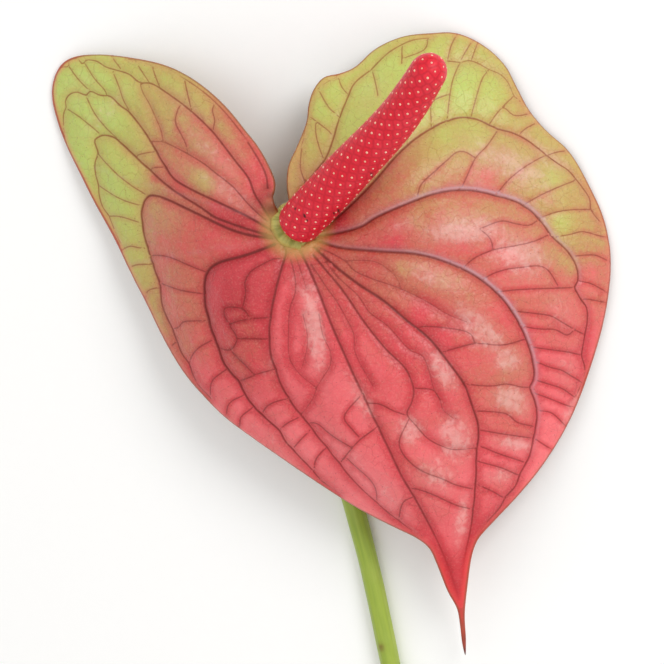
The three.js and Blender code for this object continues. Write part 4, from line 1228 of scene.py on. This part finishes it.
def make_stage(look):
    """A pale floor, soft light from above and to the right, and a camera square to the spathe's face."""
    side = 3.0
    mesh = bpy.data.meshes.new("floor")
    corners = [(-side, -side, 0), (side, -side, 0), (side, side, 0), (-side, side, 0)]
    mesh.from_pydata(corners, [], [(0, 1, 2, 3)])
    mesh.materials.append(floor_paper(look))
    floor = bpy.data.objects.new("floor", mesh)
    bpy.context.scene.collection.objects.link(floor)

    heart = to_row([LIT_POINT])[0]
    area_light("key_light", to_row([KEY_PLACE])[0], heart, 0.42, look.key_power)
    area_light("fill_light", to_row([FILL_PLACE])[0], heart, 0.9, look.key_power * 0.4)
    area_light("low_light", to_row([LOW_PLACE])[0], heart, 0.7, look.key_power * 0.27)
    world = bpy.context.scene.world or bpy.data.worlds.new("studio")
    bpy.context.scene.world = world
    world.use_nodes = True
    background = world.node_tree.nodes["Background"]
    background.inputs["Color"].default_value = (1.0, 0.99, 0.975, 1)
    background.inputs["Strength"].default_value = SKY_STRENGTH
    bpy.context.scene.view_settings.view_transform = "Standard"

    data = bpy.data.cameras.new("camera")
    data.lens = 200
    data.sensor_width = 36
    data.clip_end = 50
    camera = bpy.data.objects.new("camera", data)
    bpy.context.scene.collection.objects.link(camera)
    place = to_row([np.add(SEEN_POINT, (0, 0, look.distance / MM))])[0]
    camera.matrix_world = Matrix.Translation(place) @ Matrix(TURN.tolist()).to_4x4()
    bpy.context.scene.camera = camera


# ---- operators, panel and registration -----------------------------------------------------------

class ANTHURIUM_OT_stage(bpy.types.Operator):
    """Set the floor, the lights and the camera"""
    bl_idname = "anthurium.stage"
    bl_label = "Stage"

    def execute(self, context):
        make_stage(context.scene.anthurium_stage)
        return {"FINISHED"}


class ANTHURIUM_OT_spathe(bpy.types.Operator):
    """Build the heart-shaped spathe with its veins"""
    bl_idname = "anthurium.spathe"
    bl_label = "Spathe"

    def execute(self, context):
        make_spathe(context.scene.anthurium_spathe)
        return {"FINISHED"}


class ANTHURIUM_OT_spadix(bpy.types.Operator):
    """Build the spadix with its florets and their stigmas"""
    bl_idname = "anthurium.spadix"
    bl_label = "Spadix"

    def execute(self, context):
        make_spadix_body(context.scene.anthurium_spadix)
        make_stigmas(context.scene.anthurium_spadix)
        return {"FINISHED"}


class ANTHURIUM_OT_stem(bpy.types.Operator):
    """Build the stem and the collar that carries spathe and spadix"""
    bl_idname = "anthurium.stem"
    bl_label = "Stem and collar"

    def execute(self, context):
        make_stem(context.scene.anthurium_stem)
        make_collar(context.scene.anthurium_stem)
        return {"FINISHED"}


SETTINGS = {
    "anthurium_spathe": SpatheSettings, "anthurium_spadix": SpadixSettings,
    "anthurium_stem": StemSettings, "anthurium_stage": StageSettings,
}
OPERATORS = (ANTHURIUM_OT_stage, ANTHURIUM_OT_stem, ANTHURIUM_OT_spathe, ANTHURIUM_OT_spadix)


class ANTHURIUM_PT_panel(bpy.types.Panel):
    """Lists the pieces and their sizes and colours"""
    bl_label = "Anthurium Flower"
    bl_space_type = "VIEW_3D"
    bl_region_type = "UI"
    bl_category = "Anthurium"

    def draw(self, context):
        for operator in OPERATORS:
            self.layout.operator(operator.bl_idname)
        for name, group in SETTINGS.items():
            box = self.layout.box()
            for setting in group.__annotations__:
                box.prop(getattr(context.scene, name), setting)


def register():
    for group in SETTINGS.values():
        bpy.utils.register_class(group)
    for name, group in SETTINGS.items():
        setattr(bpy.types.Scene, name, bpy.props.PointerProperty(type=group))
    for kind in (*OPERATORS, ANTHURIUM_PT_panel):
        bpy.utils.register_class(kind)


def unregister():
    for kind in (ANTHURIUM_PT_panel, *reversed(OPERATORS)):
        bpy.utils.unregister_class(kind)
    for name in SETTINGS:
        delattr(bpy.types.Scene, name)
    for group in reversed(SETTINGS.values()):
        bpy.utils.unregister_class(group)


def main():
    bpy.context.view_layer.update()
    register()
    bpy.ops.anthurium.stage()
    bpy.ops.anthurium.stem()
    bpy.ops.anthurium.spathe()
    bpy.ops.anthurium.spadix()
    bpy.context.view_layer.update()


if __name__ == "__main__":
    main()
